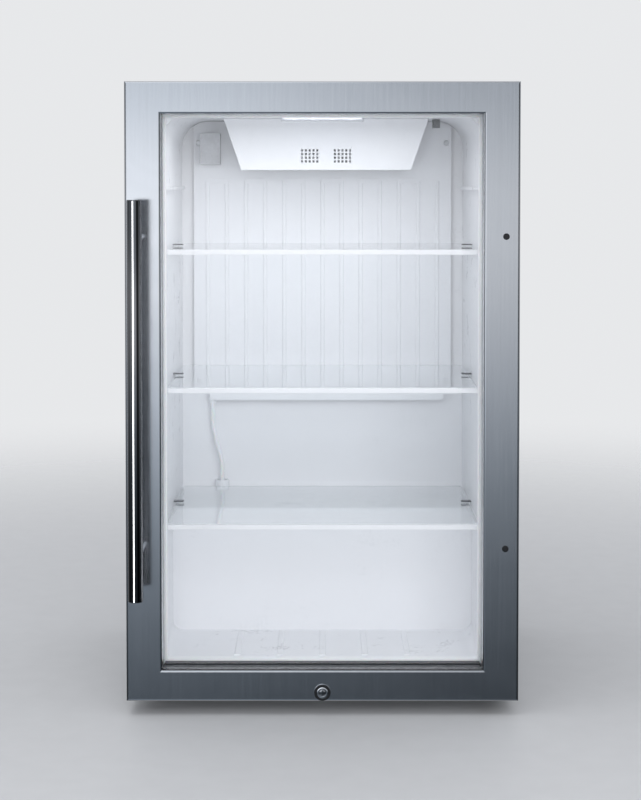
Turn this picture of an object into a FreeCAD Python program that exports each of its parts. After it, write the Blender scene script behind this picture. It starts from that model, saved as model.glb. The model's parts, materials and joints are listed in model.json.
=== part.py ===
import FreeCAD, Part
import math
import os

# Compact glass-door reach-in refrigerator. Millimetres, +Z up, front faces -Y.
# Origin: floor level, under the centre of the whole object's footprint.

V = FreeCAD.Vector
X_AXIS = V(1, 0, 0)
Y_AXIS = V(0, 1, 0)
Z_AXIS = V(0, 0, 1)

# ---------------------------------------------------------------- driving dimensions
DOOR_W = 480.0
DOOR_H = 757.0
DOOR_T = 45.0
DEPTH = 432.0            # door face to back panel
FOOT_GAP = 18.0          # floor to the underside of cabinet and door
HANDLE_REACH = 55.0      # door face to the front of the handle bar
CABINET_INSET = 1.0      # cabinet narrower than the door, each side
CABINET_DROP = 2.0       # cabinet top below the door top
CABINET_GAP = 12.0       # door back to cabinet front, filled by the gasket

STILE_W = 44.0
TOP_RAIL_H = 39.6
BOTTOM_RAIL_H = 38.5
SKIN_T = 1.2
SHELL_T = 1.0
EDGE_R = 3.0
INNER_EDGE_R = 2.5
RETURN_D = 10.0          # depth of the skin's return round the glass
SEAL_T = 5.0
PANE_T = 4.0
SPACER_T = 10.0
GLASS_BITE = 8.0         # how far the glass runs behind the frame
GLASS_EDGE_GAP = 0.5

GASKET_W = 19.4
GASKET_LIP = 2.7         # how far the gasket shows inside the door opening
GASKET_FOOT = 9.0        # its foot outward from the door opening
GASKET_WALL = 2.0
TOUCH_GAP = 0.3          # clearance between the closed door and the cabinet
RUN_CLEAR = 0.05         # radial clearance of a turning fit
SEAT_CLEAR = 0.1         # radial clearance of a seated, non-turning fit

HANDLE_D = 18.0
HANDLE_L = 480.0
HANDLE_IN = 17.0         # handle bar's centre from the door's side
HANDLE_DROP = 4.5        # bar's middle below the door's middle
HANDLE_PITCH = 381.0
POST_D = 12.0
HANDLE_SCREW_D = 5.0
PLUG_D = 8.0

HINGE_IN = 12.0          # hinge axis in from the door's side
HINGE_BACK = 22.5        # hinge axis behind the door face
HINGE_PIN_D = 8.0
HINGE_PLATE_T = 3.0
HINGE_PLATE_R = 12.0
HINGE_POCKET = 6.0
HINGE_PLATE_GAP = 1.0
HINGE_LEG_W = 22.0
HINGE_LEG_H = 48.0
BUSH_D = 14.0
BUSH_L = 20.0
DOOR_OPEN_LIP = 3.5      # frame left in front of each hinge pocket

LOCK_Z = 11.4            # lock axis above the door's lower edge
LOCK_BEZEL_D = 20.0
LOCK_BARREL_D = 16.0
LOCK_PLUG_D = 13.0
LOCK_PROUD = 2.0
CAM_T = 2.0
CAM_L = 15.0
CAM_W = 8.0
STRIKE_W = 24.0
STRIKE_T = 1.5
STRIKE_DROP = 7.0
STRIKE_GAP = 0.8

SIDE_WALL = 39.0         # cabinet side to the food space
FLOOR_WALL = 35.0        # cabinet underside to the food space
TOP_WALL = 33.0
BACK_WALL = 54.0
LINER_T = 2.0
LINER_FLANGE_W = 25.0
LINER_FLANGE_TOP = 22.0
LINER_TOP_R = 38.0
LINER_LOW_R = 14.0
STEP_EDGE_R = 8.0
STEP_WALL = 33.0         # insulation between step and machine space
ROOM_D = 190.0           # depth of the machine space
ROOM_H = 163.0           # its height above the cabinet's underside
RIB_COUNT = 5
RIB_PITCH = 54.0
RIB_W = 8.0
RIB_H = 2.0

SHELF_OVER_STEP = 6.7    # lowest shelf above the step
TOP_SHELF_DROP = 173.6   # highest shelf below the ceiling
MIDDLE_SHELF_DROP = 0.65 # middle shelf below halfway
SPARE_LEDGE_DROP = 90.0  # spare ledge below the ceiling
SHELF_SIDE_GAP = 3.0
SHELF_BACK_GAP = 14.5    # shelf back to the evaporator plate
SHELF_GLASS_T = 4.0
SHELF_TRIM_H = 6.0
SHELF_TRIM_D = 10.0
SHELF_GRIP = 5.0         # how far the trim reaches over the glass
SHELF_SETBACK = 8.0      # shelf front behind the cabinet front
LEDGE_D = 6.0
LEDGE_H = 4.0
CLIP_BACK = 153.0        # clip behind the shelf's front edge
CLIP_L = 11.0
CLIP_H = 5.0
CLIP_W = 8.0
WALL_SCREW_D = 3.2
WALL_SCREW_BACK = 54.0
WALL_SCREW_DROPS = (2.0, 28.0)      # below the ceiling's rounded corner

EVAP_SIDE_GAP = 17.0
EVAP_OVER_STEP = 145.0   # plate's lower edge above the step
EVAP_T = 1.5
EVAP_EDGE_GAP = 1.0      # plate edge to the liner's rounded corners
EVAP_GAP = 7.0           # plate in front of the liner's back wall
EVAP_CHANNELS = 13
CHANNEL_W = 7.0
CHANNEL_H = 1.6

SHROUD_X = 5.0           # shroud's centre to the right of the cabinet's
SHROUD_SIDE_GAP = 5.0    # shroud's top to the plate's rounded corner
SHROUD_TAPER = 24.0      # each side, over its height
SHROUD_H = 70.0
SHROUD_D = 80.0
SHROUD_BACK_GAP = 14.5   # shroud to the plate
SHROUD_T = 2.0
PROBE_IN = 5.0           # probe clip from the rounded corner
GRILLE_W = 75.0
GRILLE_H = 22.0
COOL_FAN_R = 26.0

LAMP_W = 112.0
LAMP_D = 34.0
LAMP_SETBACK = 145.0
LAMP_H = 4.0

TRAY_INSET = 17.0        # narrower than the plate, each side
TRAY_X = 6.0             # tray's centre to the right of the cabinet's
TRAY_H = 12.0
TRAY_D = 20.0
TRAY_GAP = 3.0           # tray below the plate
TRAY_WALL = 1.5
HOSE_D = 6.0
HOSE_IN = 44.0           # hose from the food space's side
DRAIN_IN = 57.0          # drain from the food space's side
DRAIN_FORE = 11.5        # drain in front of the back wall
SUCTION_IN = 42.0        # suction line from the food space's side
SUCTION_DROP = 40.0      # suction line below the ceiling

COVER_LAP = 6.0          # back panel's lower edge below the machine space's ceiling
COMP_R = 56.0
COMP_H = 112.0
STUB_L = 7.0
BASE_T = 1.2
FOOT_D = 32.0
FOOT_PAD_H = 9.0
FOOT_STUD_D = 8.0
FOOT_TRAVEL = 12.0
FOOT_IN_X = 34.0
FOOT_IN_FRONT = 34.0
FOOT_IN_BACK = 30.0
FOOT_BOSS_D = 22.0
FOOT_BOSS_H = 26.0

COMP_IN = 99.0           # compressor's centre from the cabinet's side
CONDENSER_IN = (111.0, 81.0)        # tube columns from the other side
CONDENSER_L = 114.0
CONDENSER_ROWS = 5
CONDENSER_PITCH = 24.0
CONDENSER_TUBE_D = 8.0
FIN_COUNT = 12
FIN_PITCH = 8.0
FAN_R = 52.0
FAN_IN = 173.0           # fan frame from the same side
DRIER_IN = 33.0
DRIER_L = 70.0
LINE_D = 6.0
SUCTION_D = 7.0
KNOB_D = 26.0
KNOB_H = 9.0
KNOB_GAP = 0.4

FOOT_NAMES = ("foot_front_left", "foot_front_right", "foot_rear_left", "foot_rear_right")

# ---------------------------------------------------------------- derived places
FRONT = (HANDLE_REACH - DEPTH - KNOB_H - KNOB_GAP) / 2.0
BACK = FRONT + DEPTH
DOOR_BACK = FRONT + DOOR_T
CAB_FRONT = DOOR_BACK + CABINET_GAP
HX = DOOR_W / 2.0
HANDLE_X = HANDLE_IN - HX
CX = HX - CABINET_INSET
Z0 = FOOT_GAP
DOOR_TOP = Z0 + DOOR_H
CAB_TOP = DOOR_TOP - CABINET_DROP
OPEN_X = HX - STILE_W
OPEN_Z0 = Z0 + BOTTOM_RAIL_H
OPEN_Z1 = DOOR_TOP - TOP_RAIL_H
MID_Z = Z0 + DOOR_H / 2.0
SEAL_Y = FRONT + RETURN_D
PANE1_Y = SEAL_Y + SEAL_T
SPACER_Y = PANE1_Y + PANE_T
PANE2_Y = SPACER_Y + SPACER_T
INNER_Y = PANE2_Y + PANE_T
HINGE_X = HX - HINGE_IN
HINGE_Y = FRONT + HINGE_BACK
LINER_X = CX - SIDE_WALL
LINER_Z0 = Z0 + FLOOR_WALL
LINER_Z1 = CAB_TOP - TOP_WALL
LINER_BACK = BACK - BACK_WALL
ROOM_Y = BACK - ROOM_D
ROOM_Z = Z0 + ROOM_H
STEP_Y = ROOM_Y - STEP_WALL
STEP_Z = ROOM_Z + STEP_WALL
FLANGE_X = LINER_X + LINER_FLANGE_W
FLANGE_Z0 = LINER_Z0 - LINER_FLANGE_W
FLANGE_Z1 = LINER_Z1 + LINER_FLANGE_TOP
EVAP_X = LINER_X - EVAP_SIDE_GAP
EVAP_Y = LINER_BACK - EVAP_GAP - EVAP_T
EVAP_Z1 = LINER_Z1 - EVAP_EDGE_GAP
EVAP_Z0 = STEP_Z + EVAP_OVER_STEP
SHELF_X = LINER_X - SHELF_SIDE_GAP
SHELF_Y = CAB_FRONT + SHELF_SETBACK
SHELF_BACK = EVAP_Y - SHELF_BACK_GAP
SHELF_LOW_Z = STEP_Z + SHELF_OVER_STEP
SHELF_TOP_Z = LINER_Z1 - TOP_SHELF_DROP
SHELF_MIDDLE_Z = (SHELF_LOW_Z + SHELF_TOP_Z) / 2.0 - MIDDLE_SHELF_DROP
SHELF_ZS = (SHELF_LOW_Z, SHELF_MIDDLE_Z, SHELF_TOP_Z)
SPARE_LEDGE_Z = LINER_Z1 - SPARE_LEDGE_DROP
SHROUD_TOP_X = EVAP_X - LINER_TOP_R - SHROUD_SIDE_GAP
SHROUD_LOW_X = SHROUD_TOP_X - SHROUD_TAPER
SHROUD_Y = EVAP_Y - SHROUD_BACK_GAP - SHROUD_D
SHROUD_Z = LINER_Z1 - SHROUD_H
TRAY_Z = EVAP_Z0 - TRAY_GAP - TRAY_H
PAN_TOP = Z0 + BASE_T
COMP_X = COMP_IN - CX
CONDENSER_X = (CX - CONDENSER_IN[0], CX - CONDENSER_IN[1])
FAN_X = CX - FAN_IN
DRIER_X = CX - DRIER_IN
ROOM_MID = (ROOM_Y + BACK) / 2.0
CONDENSER_Y0 = ROOM_MID - CONDENSER_L / 2.0
CONDENSER_Y1 = ROOM_MID + CONDENSER_L / 2.0


# ---------------------------------------------------------------- helpers
def box(x0, x1, y0, y1, z0, z1):
    """Box between two corners."""
    return Part.makeBox(x1 - x0, y1 - y0, z1 - z0, V(x0, y0, z0))


def cyl(radius, length, x, y, z, axis=Z_AXIS):
    """Cylinder that starts at a point and runs along an axis."""
    return Part.makeCylinder(radius, length, V(x, y, z), axis)


def tube(outer, inner, length, x, y, z, axis=Z_AXIS):
    """Round tube along an axis."""
    return cyl(outer, length, x, y, z, axis).cut(cyl(inner, length, x, y, z, axis))


def ring_y(x_out, z_out0, z_out1, x_in, z_in0, z_in1, y0, y1):
    """Rectangular ring in the XZ plane, extruded along Y."""
    outer = box(-x_out, x_out, y0, y1, z_out0, z_out1)
    return outer.cut(box(-x_in, x_in, y0 - 1, y1 + 1, z_in0, z_in1))


def rounded_xz(x_half, z0, z1, r_low, r_top, y0, y1):
    """Block, symmetric in X, whose XZ outline has its own lower and upper corner radii."""
    corners = ((x_half, z0, r_low, -90), (x_half, z1, r_top, 0), (-x_half, z1, r_top, 90),
               (-x_half, z0, r_low, 180))
    edges = []
    last = None
    first = None
    for x, z, radius, start in corners:
        cx = x - math.copysign(radius, x)
        cz = z + radius if z == z0 else z - radius
        points = []
        for turn in (0, 45, 90):
            angle = math.radians(start + turn)
            points.append(V(cx + radius * math.cos(angle), y0, cz + radius * math.sin(angle)))
        if last is None:
            first = points[0]
        else:
            edges.append(Part.LineSegment(last, points[0]).toShape())
        edges.append(Part.Arc(points[0], points[1], points[2]).toShape())
        last = points[2]
    edges.append(Part.LineSegment(last, first).toShape())
    return Part.Face(Part.Wire(edges)).extrude(V(0, y1 - y0, 0))


def edges_where(shape, test):
    """Edges whose two end points both pass a test."""
    found = []
    for edge in shape.Edges:
        if len(edge.Vertexes) == 2 and all(test(vertex.Point) for vertex in edge.Vertexes):
            found.append(edge)
    return found


def pan_screw(radius, length, head_r, head_h, x, y, z, axis):
    """Screw with a domed head whose underside sits at the given point; the axis runs head to tip."""
    shank = cyl(radius, length, x, y, z, axis)
    back = V(-axis.x, -axis.y, -axis.z)
    head = cyl(head_r, head_h, x, y, z, back)
    rim = [e for e in head.Edges if (e.CenterOfMass - V(x, y, z)).dot(back) > head_h * 0.9]
    head = head.makeFillet(head_h * 0.6, rim)
    slot = box(-head_r, head_r, -0.5, 0.5, -0.5, 0.5)
    turn = FreeCAD.Rotation(Z_AXIS, back)
    slot.Placement = FreeCAD.Placement(V(x, y, z) + back * (head_h - 0.2), turn)
    return shank.fuse(head).cut(slot)


def route_tube(points, radius, diameter):
    """Bent tube: straight runs joined by tangent arcs of one radius."""
    edges = []
    start = points[0]
    for index in range(1, len(points) - 1):
        corner = points[index]
        before = (points[index - 1] - corner).normalize()
        after = (points[index + 1] - corner).normalize()
        angle = before.getAngle(after)
        reach = radius / math.tan(angle / 2.0)
        first = corner + before * reach
        last = corner + after * reach
        bisector = (before + after).normalize()
        centre = corner + bisector * (radius / math.sin(angle / 2.0))
        middle = centre - bisector * radius
        edges.append(Part.LineSegment(start, first).toShape())
        edges.append(Part.Arc(first, middle, last).toShape())
        start = last
    edges.append(Part.LineSegment(start, points[-1]).toShape())
    wire = Part.Wire(edges)
    direction = points[1] - points[0]
    profile = Part.Wire([Part.makeCircle(diameter / 2.0, points[0], direction)])
    return wire.makePipeShell([profile], True, False)


def save(name, shape):
    """Write one node as a STEP file, as one solid or a group of solids."""
    solids = shape.Solids
    if not solids:
        raise ValueError("no solid in " + name)
    out = solids[0] if len(solids) == 1 else Part.makeCompound(solids)
    out.exportStep("parts/" + name + ".step")


# ---------------------------------------------------------------- door
def hinge_pocket(end):
    """Space cut from the door's end (+1 top, -1 bottom) for the swing of the hinge plate."""
    z0 = DOOR_TOP - HINGE_POCKET if end > 0 else Z0 - 1
    z1 = DOOR_TOP + 1 if end > 0 else Z0 + HINGE_POCKET
    return box(HX - 50, HX + 1, FRONT + DOOR_OPEN_LIP, DOOR_BACK + 1, z0, z1)


def bush_axis_hole(radius):
    """Two blind holes on the hinge axis, one in each end of the door."""
    low = cyl(radius, BUSH_L + SEAT_CLEAR, HINGE_X, HINGE_Y, Z0 + HINGE_POCKET)
    top = cyl(radius, BUSH_L + SEAT_CLEAR, HINGE_X, HINGE_Y,
              DOOR_TOP - HINGE_POCKET - BUSH_L - SEAT_CLEAR)
    return low.fuse(top)


def lock_hole(radius):
    """Hole for the lock barrel, through the whole door."""
    return cyl(radius, DOOR_T + 4, 0, FRONT - 2, Z0 + LOCK_Z, Y_AXIS)


def fixing_holes(x, radius, y0, y1):
    """The pair of handle holes in one stile."""
    low = cyl(radius, y1 - y0, x, y0, MID_Z - HANDLE_PITCH / 2.0, Y_AXIS)
    top = cyl(radius, y1 - y0, x, y0, MID_Z + HANDLE_PITCH / 2.0, Y_AXIS)
    return low.fuse(top)


def door_skin():
    """Folded stainless skin: face, outer flanges and a short return round the glass."""
    body = ring_y(HX, Z0, DOOR_TOP, OPEN_X, OPEN_Z0, OPEN_Z1, FRONT, DOOR_BACK)

    def on_face(point):
        return abs(point.y - FRONT) < 1e-6

    def inner(point):
        return on_face(point) and abs(point.x) < OPEN_X + 1 and OPEN_Z0 - 1 < point.z < OPEN_Z1 + 1

    body = body.makeFillet(INNER_EDGE_R, edges_where(body, inner))

    def outer(point):
        return on_face(point) and abs(point.x) > HX - 1

    body = body.makeFillet(EDGE_R, edges_where(body, outer))
    t = SKIN_T
    hollow = ring_y(HX - t, Z0 + t, DOOR_TOP - t, OPEN_X + t, OPEN_Z0 - t, OPEN_Z1 + t,
                    FRONT + t, SEAL_Y + 1)
    rear = ring_y(HX - t, Z0 + t, DOOR_TOP - t, OPEN_X - 5, OPEN_Z0 + 5, OPEN_Z1 - 5,
                  SEAL_Y, DOOR_BACK + 1)
    skin = body.cut(hollow).cut(rear)
    for end in (1, -1):
        skin = skin.cut(hinge_pocket(end))
    skin = skin.cut(lock_hole(LOCK_BARREL_D / 2.0 + SEAT_CLEAR))
    skin = skin.cut(fixing_holes(HANDLE_X, HANDLE_SCREW_D / 2.0 + SEAT_CLEAR, FRONT - 1, FRONT + 5))
    return skin.cut(fixing_holes(-HANDLE_X, PLUG_D / 2.0 - 1.0 + SEAT_CLEAR, FRONT - 1, FRONT + 5))


def door_core():
    """Foamed core of the door, moulded round the glass unit."""
    t = SKIN_T + SEAT_CLEAR
    bite = GLASS_BITE + GLASS_EDGE_GAP
    front = ring_y(HX - t - 1, Z0 + t + 1, DOOR_TOP - t - 1, OPEN_X + t, OPEN_Z0 - t, OPEN_Z1 + t,
                   FRONT + t, SEAL_Y)
    rear = ring_y(HX - t, Z0 + t, DOOR_TOP - t, OPEN_X + bite, OPEN_Z0 - bite, OPEN_Z1 + bite,
                  SEAL_Y, INNER_Y)
    core = front.fuse(rear).removeSplitter()
    for end in (1, -1):
        core = core.cut(hinge_pocket(end))
    core = core.cut(bush_axis_hole(BUSH_D / 2.0 + SEAT_CLEAR))
    core = core.cut(lock_hole(LOCK_BARREL_D / 2.0 + SEAT_CLEAR))
    core = core.cut(fixing_holes(HANDLE_X, HANDLE_SCREW_D / 2.0 + SEAT_CLEAR, FRONT, INNER_Y + 1))
    core = core.cut(fixing_holes(HANDLE_X, 7.0, FRONT + 18, INNER_Y + 1))
    return core.cut(fixing_holes(-HANDLE_X, PLUG_D / 2.0 - 1.0 + SEAT_CLEAR, FRONT, FRONT + 12))


def door_inner_frame():
    """Black moulded frame behind the glass, with the gasket groove."""
    t = SKIN_T + SEAT_CLEAR
    frame = ring_y(HX - t, Z0 + t, DOOR_TOP - t, OPEN_X, OPEN_Z0, OPEN_Z1, INNER_Y, DOOR_BACK)
    frame = frame.cut(gasket_root(SEAT_CLEAR))
    for end in (1, -1):
        frame = frame.cut(hinge_pocket(end))
    return frame.cut(lock_hole(LOCK_BARREL_D / 2.0 + SEAT_CLEAR))


def gasket_root(clear):
    """Foot of the gasket that presses into the groove."""
    mid = GASKET_FOOT
    half = 2.0 + clear
    return ring_y(OPEN_X + mid + half, OPEN_Z0 - mid - half, OPEN_Z1 + mid + half,
                  OPEN_X + mid - half, OPEN_Z0 - mid + half, OPEN_Z1 + mid - half,
                  DOOR_BACK - 5.0 - clear, DOOR_BACK)


def door_gasket():
    """Magnetic bellows gasket: a hollow ring with a foot in the frame's groove."""
    lip = -GASKET_LIP
    end = lip + GASKET_W
    wall = GASKET_WALL
    y1 = CAB_FRONT - TOUCH_GAP
    body = ring_y(OPEN_X + end, OPEN_Z0 - end, OPEN_Z1 + end,
                  OPEN_X + lip, OPEN_Z0 - lip, OPEN_Z1 + lip, DOOR_BACK, y1)
    hollow = ring_y(OPEN_X + end - wall, OPEN_Z0 - end + wall, OPEN_Z1 + end - wall,
                    OPEN_X + lip + wall, OPEN_Z0 - lip - wall, OPEN_Z1 + lip + wall,
                    DOOR_BACK + wall, y1 - wall)
    return body.cut(hollow).fuse(gasket_root(0.0)).removeSplitter()


def door_panes():
    """The two toughened panes of the sealed unit."""
    b = GLASS_BITE
    return Part.makeCompound([box(-OPEN_X - b, OPEN_X + b, y, y + PANE_T, OPEN_Z0 - b, OPEN_Z1 + b)
                              for y in (PANE1_Y, PANE2_Y)])


def glass_spacer():
    """Aluminium spacer bar between the panes."""
    b = GLASS_BITE - 1.0
    inner = 1.0
    return ring_y(OPEN_X + b, OPEN_Z0 - b, OPEN_Z1 + b, OPEN_X + inner, OPEN_Z0 - inner,
                  OPEN_Z1 + inner, SPACER_Y, PANE2_Y)


def glazing_seal():
    """Black seal between the skin's return and the outer pane."""
    b = GLASS_BITE
    return ring_y(OPEN_X + b, OPEN_Z0 - b, OPEN_Z1 + b, OPEN_X, OPEN_Z0, OPEN_Z1, SEAL_Y, PANE1_Y)


def handle_bar():
    """Round bar of the handle, with tapped seats for its posts."""
    y = FRONT - HANDLE_REACH + HANDLE_D / 2.0
    bar = cyl(HANDLE_D / 2.0, HANDLE_L, HANDLE_X, y, MID_Z - HANDLE_DROP - HANDLE_L / 2.0)
    return bar.makeFillet(1.2, [e for e in bar.Edges if len(e.Vertexes) == 1])


def handle_posts():
    """Two stand-off posts between door face and bar, drilled for the screws."""
    y0 = FRONT - HANDLE_REACH + HANDLE_D / 2.0
    posts = []
    for side in (-1, 1):
        z = MID_Z + side * HANDLE_PITCH / 2.0
        post = cyl(POST_D / 2.0, FRONT - y0, HANDLE_X, y0, z, Y_AXIS)
        post = post.cut(cyl(HANDLE_D / 2.0 + SEAT_CLEAR, 60, HANDLE_X, y0, z - 30))
        posts.append(post.cut(cyl(HANDLE_SCREW_D / 2.0, 16, HANDLE_X, FRONT - 16, z, Y_AXIS)))
    return Part.makeCompound(posts)


def handle_screws():
    """Screws from inside the door into the posts."""
    screws = []
    for side in (-1, 1):
        z = MID_Z + side * HANDLE_PITCH / 2.0
        head_y = FRONT + 18
        shank = cyl(HANDLE_SCREW_D / 2.0 - SEAT_CLEAR, 33, HANDLE_X, head_y - 33, z, Y_AXIS)
        screws.append(shank.fuse(cyl(4.5, 3.5, HANDLE_X, head_y, z, Y_AXIS)))
    return Part.makeCompound(screws)


def hole_plugs():
    """Domed plugs in the spare pair of handle holes."""
    plugs = []
    for side in (-1, 1):
        z = MID_Z + side * HANDLE_PITCH / 2.0
        head = cyl(PLUG_D / 2.0, 1.4, -HANDLE_X, FRONT - 1.4, z, Y_AXIS)
        head = head.makeFillet(1.1, [e for e in head.Edges if e.CenterOfMass.y < FRONT - 1.0])
        plugs.append(head.fuse(cyl(PLUG_D / 2.0 - 1.0, 9, -HANDLE_X, FRONT, z, Y_AXIS)))
    return Part.makeCompound(plugs)


def hinge_bushes():
    """Nylon bushes in the door's ends."""
    bore = HINGE_PIN_D / 2.0 + RUN_CLEAR
    low_z = Z0 + HINGE_POCKET
    top_z = DOOR_TOP - HINGE_POCKET
    low = tube(BUSH_D / 2.0, bore, BUSH_L, HINGE_X, HINGE_Y, low_z)
    low = low.fuse(tube(9.0, bore, 1.2, HINGE_X, HINGE_Y, low_z - 1.2))
    top = tube(BUSH_D / 2.0, bore, BUSH_L, HINGE_X, HINGE_Y, top_z - BUSH_L)
    top = top.fuse(tube(9.0, bore, 1.2, HINGE_X, HINGE_Y, top_z))
    return Part.makeCompound([low.removeSplitter(), top.removeSplitter()])


def lock_barrel():
    """Fixed housing of the cam lock, with its bezel on the door face."""
    z = Z0 + LOCK_Z
    barrel = cyl(LOCK_BARREL_D / 2.0, DOOR_T, 0, FRONT, z, Y_AXIS)
    bezel = cyl(LOCK_BEZEL_D / 2.0, LOCK_PROUD, 0, FRONT - LOCK_PROUD, z, Y_AXIS)
    bezel = bezel.makeFillet(1.2, [e for e in bezel.Edges if e.CenterOfMass.y < FRONT - 1.5])
    bore = cyl(LOCK_PLUG_D / 2.0 + RUN_CLEAR, DOOR_T + 8, 0, FRONT - 4, z, Y_AXIS)
    return barrel.fuse(bezel).removeSplitter().cut(bore)


def lock_plug():
    """Turning plug with its key slot and a square tail for the cam."""
    z = Z0 + LOCK_Z
    length = DOOR_T + LOCK_PROUD - 0.2
    plug = cyl(LOCK_PLUG_D / 2.0, length, 0, FRONT - LOCK_PROUD + 0.2, z, Y_AXIS)
    slot = box(-1.3, 1.3, FRONT - 5, FRONT + 20, z - 4.0, z + 4.0)
    tail = box(-3, 3, DOOR_BACK, DOOR_BACK + 1 + CAM_T, z - 3, z + 3)
    return plug.cut(slot).fuse(tail).removeSplitter()


def lock_cam():
    """Cam on the plug's tail; it lies level when unlocked."""
    z = Z0 + LOCK_Z
    y = DOOR_BACK + 1
    arm = box(0, CAM_L, y, y + CAM_T, z - CAM_W / 2.0, z + CAM_W / 2.0)
    cam = arm.fuse(cyl(6.0, CAM_T, 0, y, z, Y_AXIS)).removeSplitter()
    return cam.cut(box(-3 - SEAT_CLEAR, 3 + SEAT_CLEAR, y - 1, y + CAM_T + 1,
                       z - 3 - SEAT_CLEAR, z + 3 + SEAT_CLEAR))


# ---------------------------------------------------------------- hinges and lock strike
def hinge_brackets():
    """Upper and lower bracket."""
    return Part.makeCompound([hinge_bracket(1), hinge_bracket(-1)])


def hinge_pins():
    """Upper and lower pin."""
    return Part.makeCompound([hinge_pin(1), hinge_pin(-1)])


def hinge_bracket(end):
    """L bracket: a plate into the door's pocket and a leg on the cabinet front."""
    if end > 0:
        z1 = DOOR_TOP - HINGE_PLATE_GAP
        z0 = z1 - HINGE_PLATE_T
        leg_z0 = z1 - HINGE_LEG_H
        leg_z1 = z1
    else:
        z0 = Z0 + HINGE_PLATE_GAP
        z1 = z0 + HINGE_PLATE_T
        leg_z0 = z0
        leg_z1 = z0 + HINGE_LEG_H
    nose = cyl(HINGE_PLATE_R, HINGE_PLATE_T, HINGE_X, HINGE_Y, z0)
    plate = box(HINGE_X - HINGE_PLATE_R, CX, HINGE_Y, CAB_FRONT, z0, z1)
    leg = box(CX - HINGE_LEG_W, CX, CAB_FRONT - HINGE_PLATE_T, CAB_FRONT, leg_z0, leg_z1)
    bracket = nose.fuse(plate).fuse(leg).removeSplitter()
    bracket = bracket.cut(box(HINGE_X + HINGE_PLATE_R - 2, CX + 1, HINGE_Y - 20, HINGE_Y, z0, z1))
    bracket = bracket.cut(cyl(HINGE_PIN_D / 2.0 + SEAT_CLEAR, 20, HINGE_X, HINGE_Y, z0 - 8))
    for z in hinge_screw_heights(end):
        bracket = bracket.cut(cyl(2.5, 10, hinge_screw_x(), CAB_FRONT - 8, z, Y_AXIS))
    return bracket


def hinge_screw_x():
    """Sideways place of the bracket screws."""
    return CX - HINGE_LEG_W / 2.0


def hinge_screw_heights(end):
    """Heights of the two screws in one bracket."""
    if end > 0:
        return (DOOR_TOP - 18, DOOR_TOP - 38)
    return (Z0 + 18, Z0 + 38)


def hinge_pin(end):
    """Pin with a flat head, seated in the bracket's plate."""
    reach = HINGE_POCKET - HINGE_PLATE_GAP + BUSH_L - 2.0
    if end > 0:
        z = DOOR_TOP - HINGE_PLATE_GAP
        pin = cyl(HINGE_PIN_D / 2.0, reach, HINGE_X, HINGE_Y, z - reach)
        head = cyl(6.0, HINGE_PLATE_GAP, HINGE_X, HINGE_Y, z)
    else:
        z = Z0 + HINGE_PLATE_GAP
        pin = cyl(HINGE_PIN_D / 2.0, reach, HINGE_X, HINGE_Y, z)
        head = cyl(6.0, HINGE_PLATE_GAP, HINGE_X, HINGE_Y, z - HINGE_PLATE_GAP)
    return pin.fuse(head)


def cabinet_screws():
    """Screws of the hinge brackets, the hinge-side wall and the rear panels."""
    screws = wall_screws() + panel_screws()
    for end in (1, -1):
        for z in hinge_screw_heights(end):
            screws.append(pan_screw(2.4, 12.0, 4.5, 2.2, hinge_screw_x(),
                                    CAB_FRONT - HINGE_PLATE_T, z, Y_AXIS))
    return Part.makeCompound(screws)


def lock_strike():
    """Folded catch under the cabinet that the cam turns behind."""
    half = STRIKE_W / 2.0
    t = STRIKE_T
    web_z = Z0 - STRIKE_DROP
    rise_y = CAB_FRONT + 2.0
    lip = box(-half, half, DOOR_BACK - t, DOOR_BACK, web_z, Z0 - STRIKE_GAP)
    web = box(-half, half, DOOR_BACK - t, rise_y + t, web_z, web_z + t)
    rise = box(-half, half, rise_y, rise_y + t, web_z, Z0)
    foot = box(-half, half, rise_y, rise_y + 22.0, Z0 - t, Z0)
    return lip.fuse(web).fuse(rise).fuse(foot).removeSplitter()


# ---------------------------------------------------------------- cabinet
def step_block(grow):
    """Step at the back of the food space, with its rounded front edge."""
    y = STEP_Y + grow
    z = STEP_Z - grow
    r = STEP_EDGE_R - grow
    x = LINER_X + 20
    far = LINER_BACK + 20
    mid = r * (1.0 - math.sqrt(0.5))
    edges = [Part.LineSegment(V(-x, far, 0), V(-x, y, 0)).toShape(),
             Part.LineSegment(V(-x, y, 0), V(-x, y, z - r)).toShape(),
             Part.Arc(V(-x, y, z - r), V(-x, y + mid, z - mid), V(-x, y + r, z)).toShape(),
             Part.LineSegment(V(-x, y + r, z), V(-x, far, z)).toShape(),
             Part.LineSegment(V(-x, far, z), V(-x, far, 0)).toShape()]
    return Part.Face(Part.Wire(edges)).extrude(V(2 * x, 0, 0))


def cavity(grow):
    """The food space, grown by a margin on every wall but the open front."""
    room = rounded_xz(LINER_X + grow, LINER_Z0 - grow, LINER_Z1 + grow, LINER_LOW_R + grow,
                      LINER_TOP_R + grow, CAB_FRONT, LINER_BACK + grow)
    return room.cut(step_block(grow))


def shelf_ledges():
    """Moulded ledges on both side walls, one pair under each shelf and one spare."""
    ledges = []
    y0 = CAB_FRONT + 12
    y1 = SHELF_BACK - 6
    for height in SHELF_ZS + (SPARE_LEDGE_Z,):
        z1 = height - SHELF_TRIM_H / 2.0
        for side in (-1, 1):
            x0 = LINER_X - LEDGE_D if side > 0 else -LINER_X - 1
            x1 = LINER_X + 1 if side > 0 else -LINER_X + LEDGE_D
            ledges.append(box(x0, x1, y0, y1, z1 - LEDGE_H, z1))
    return ledges


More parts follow.
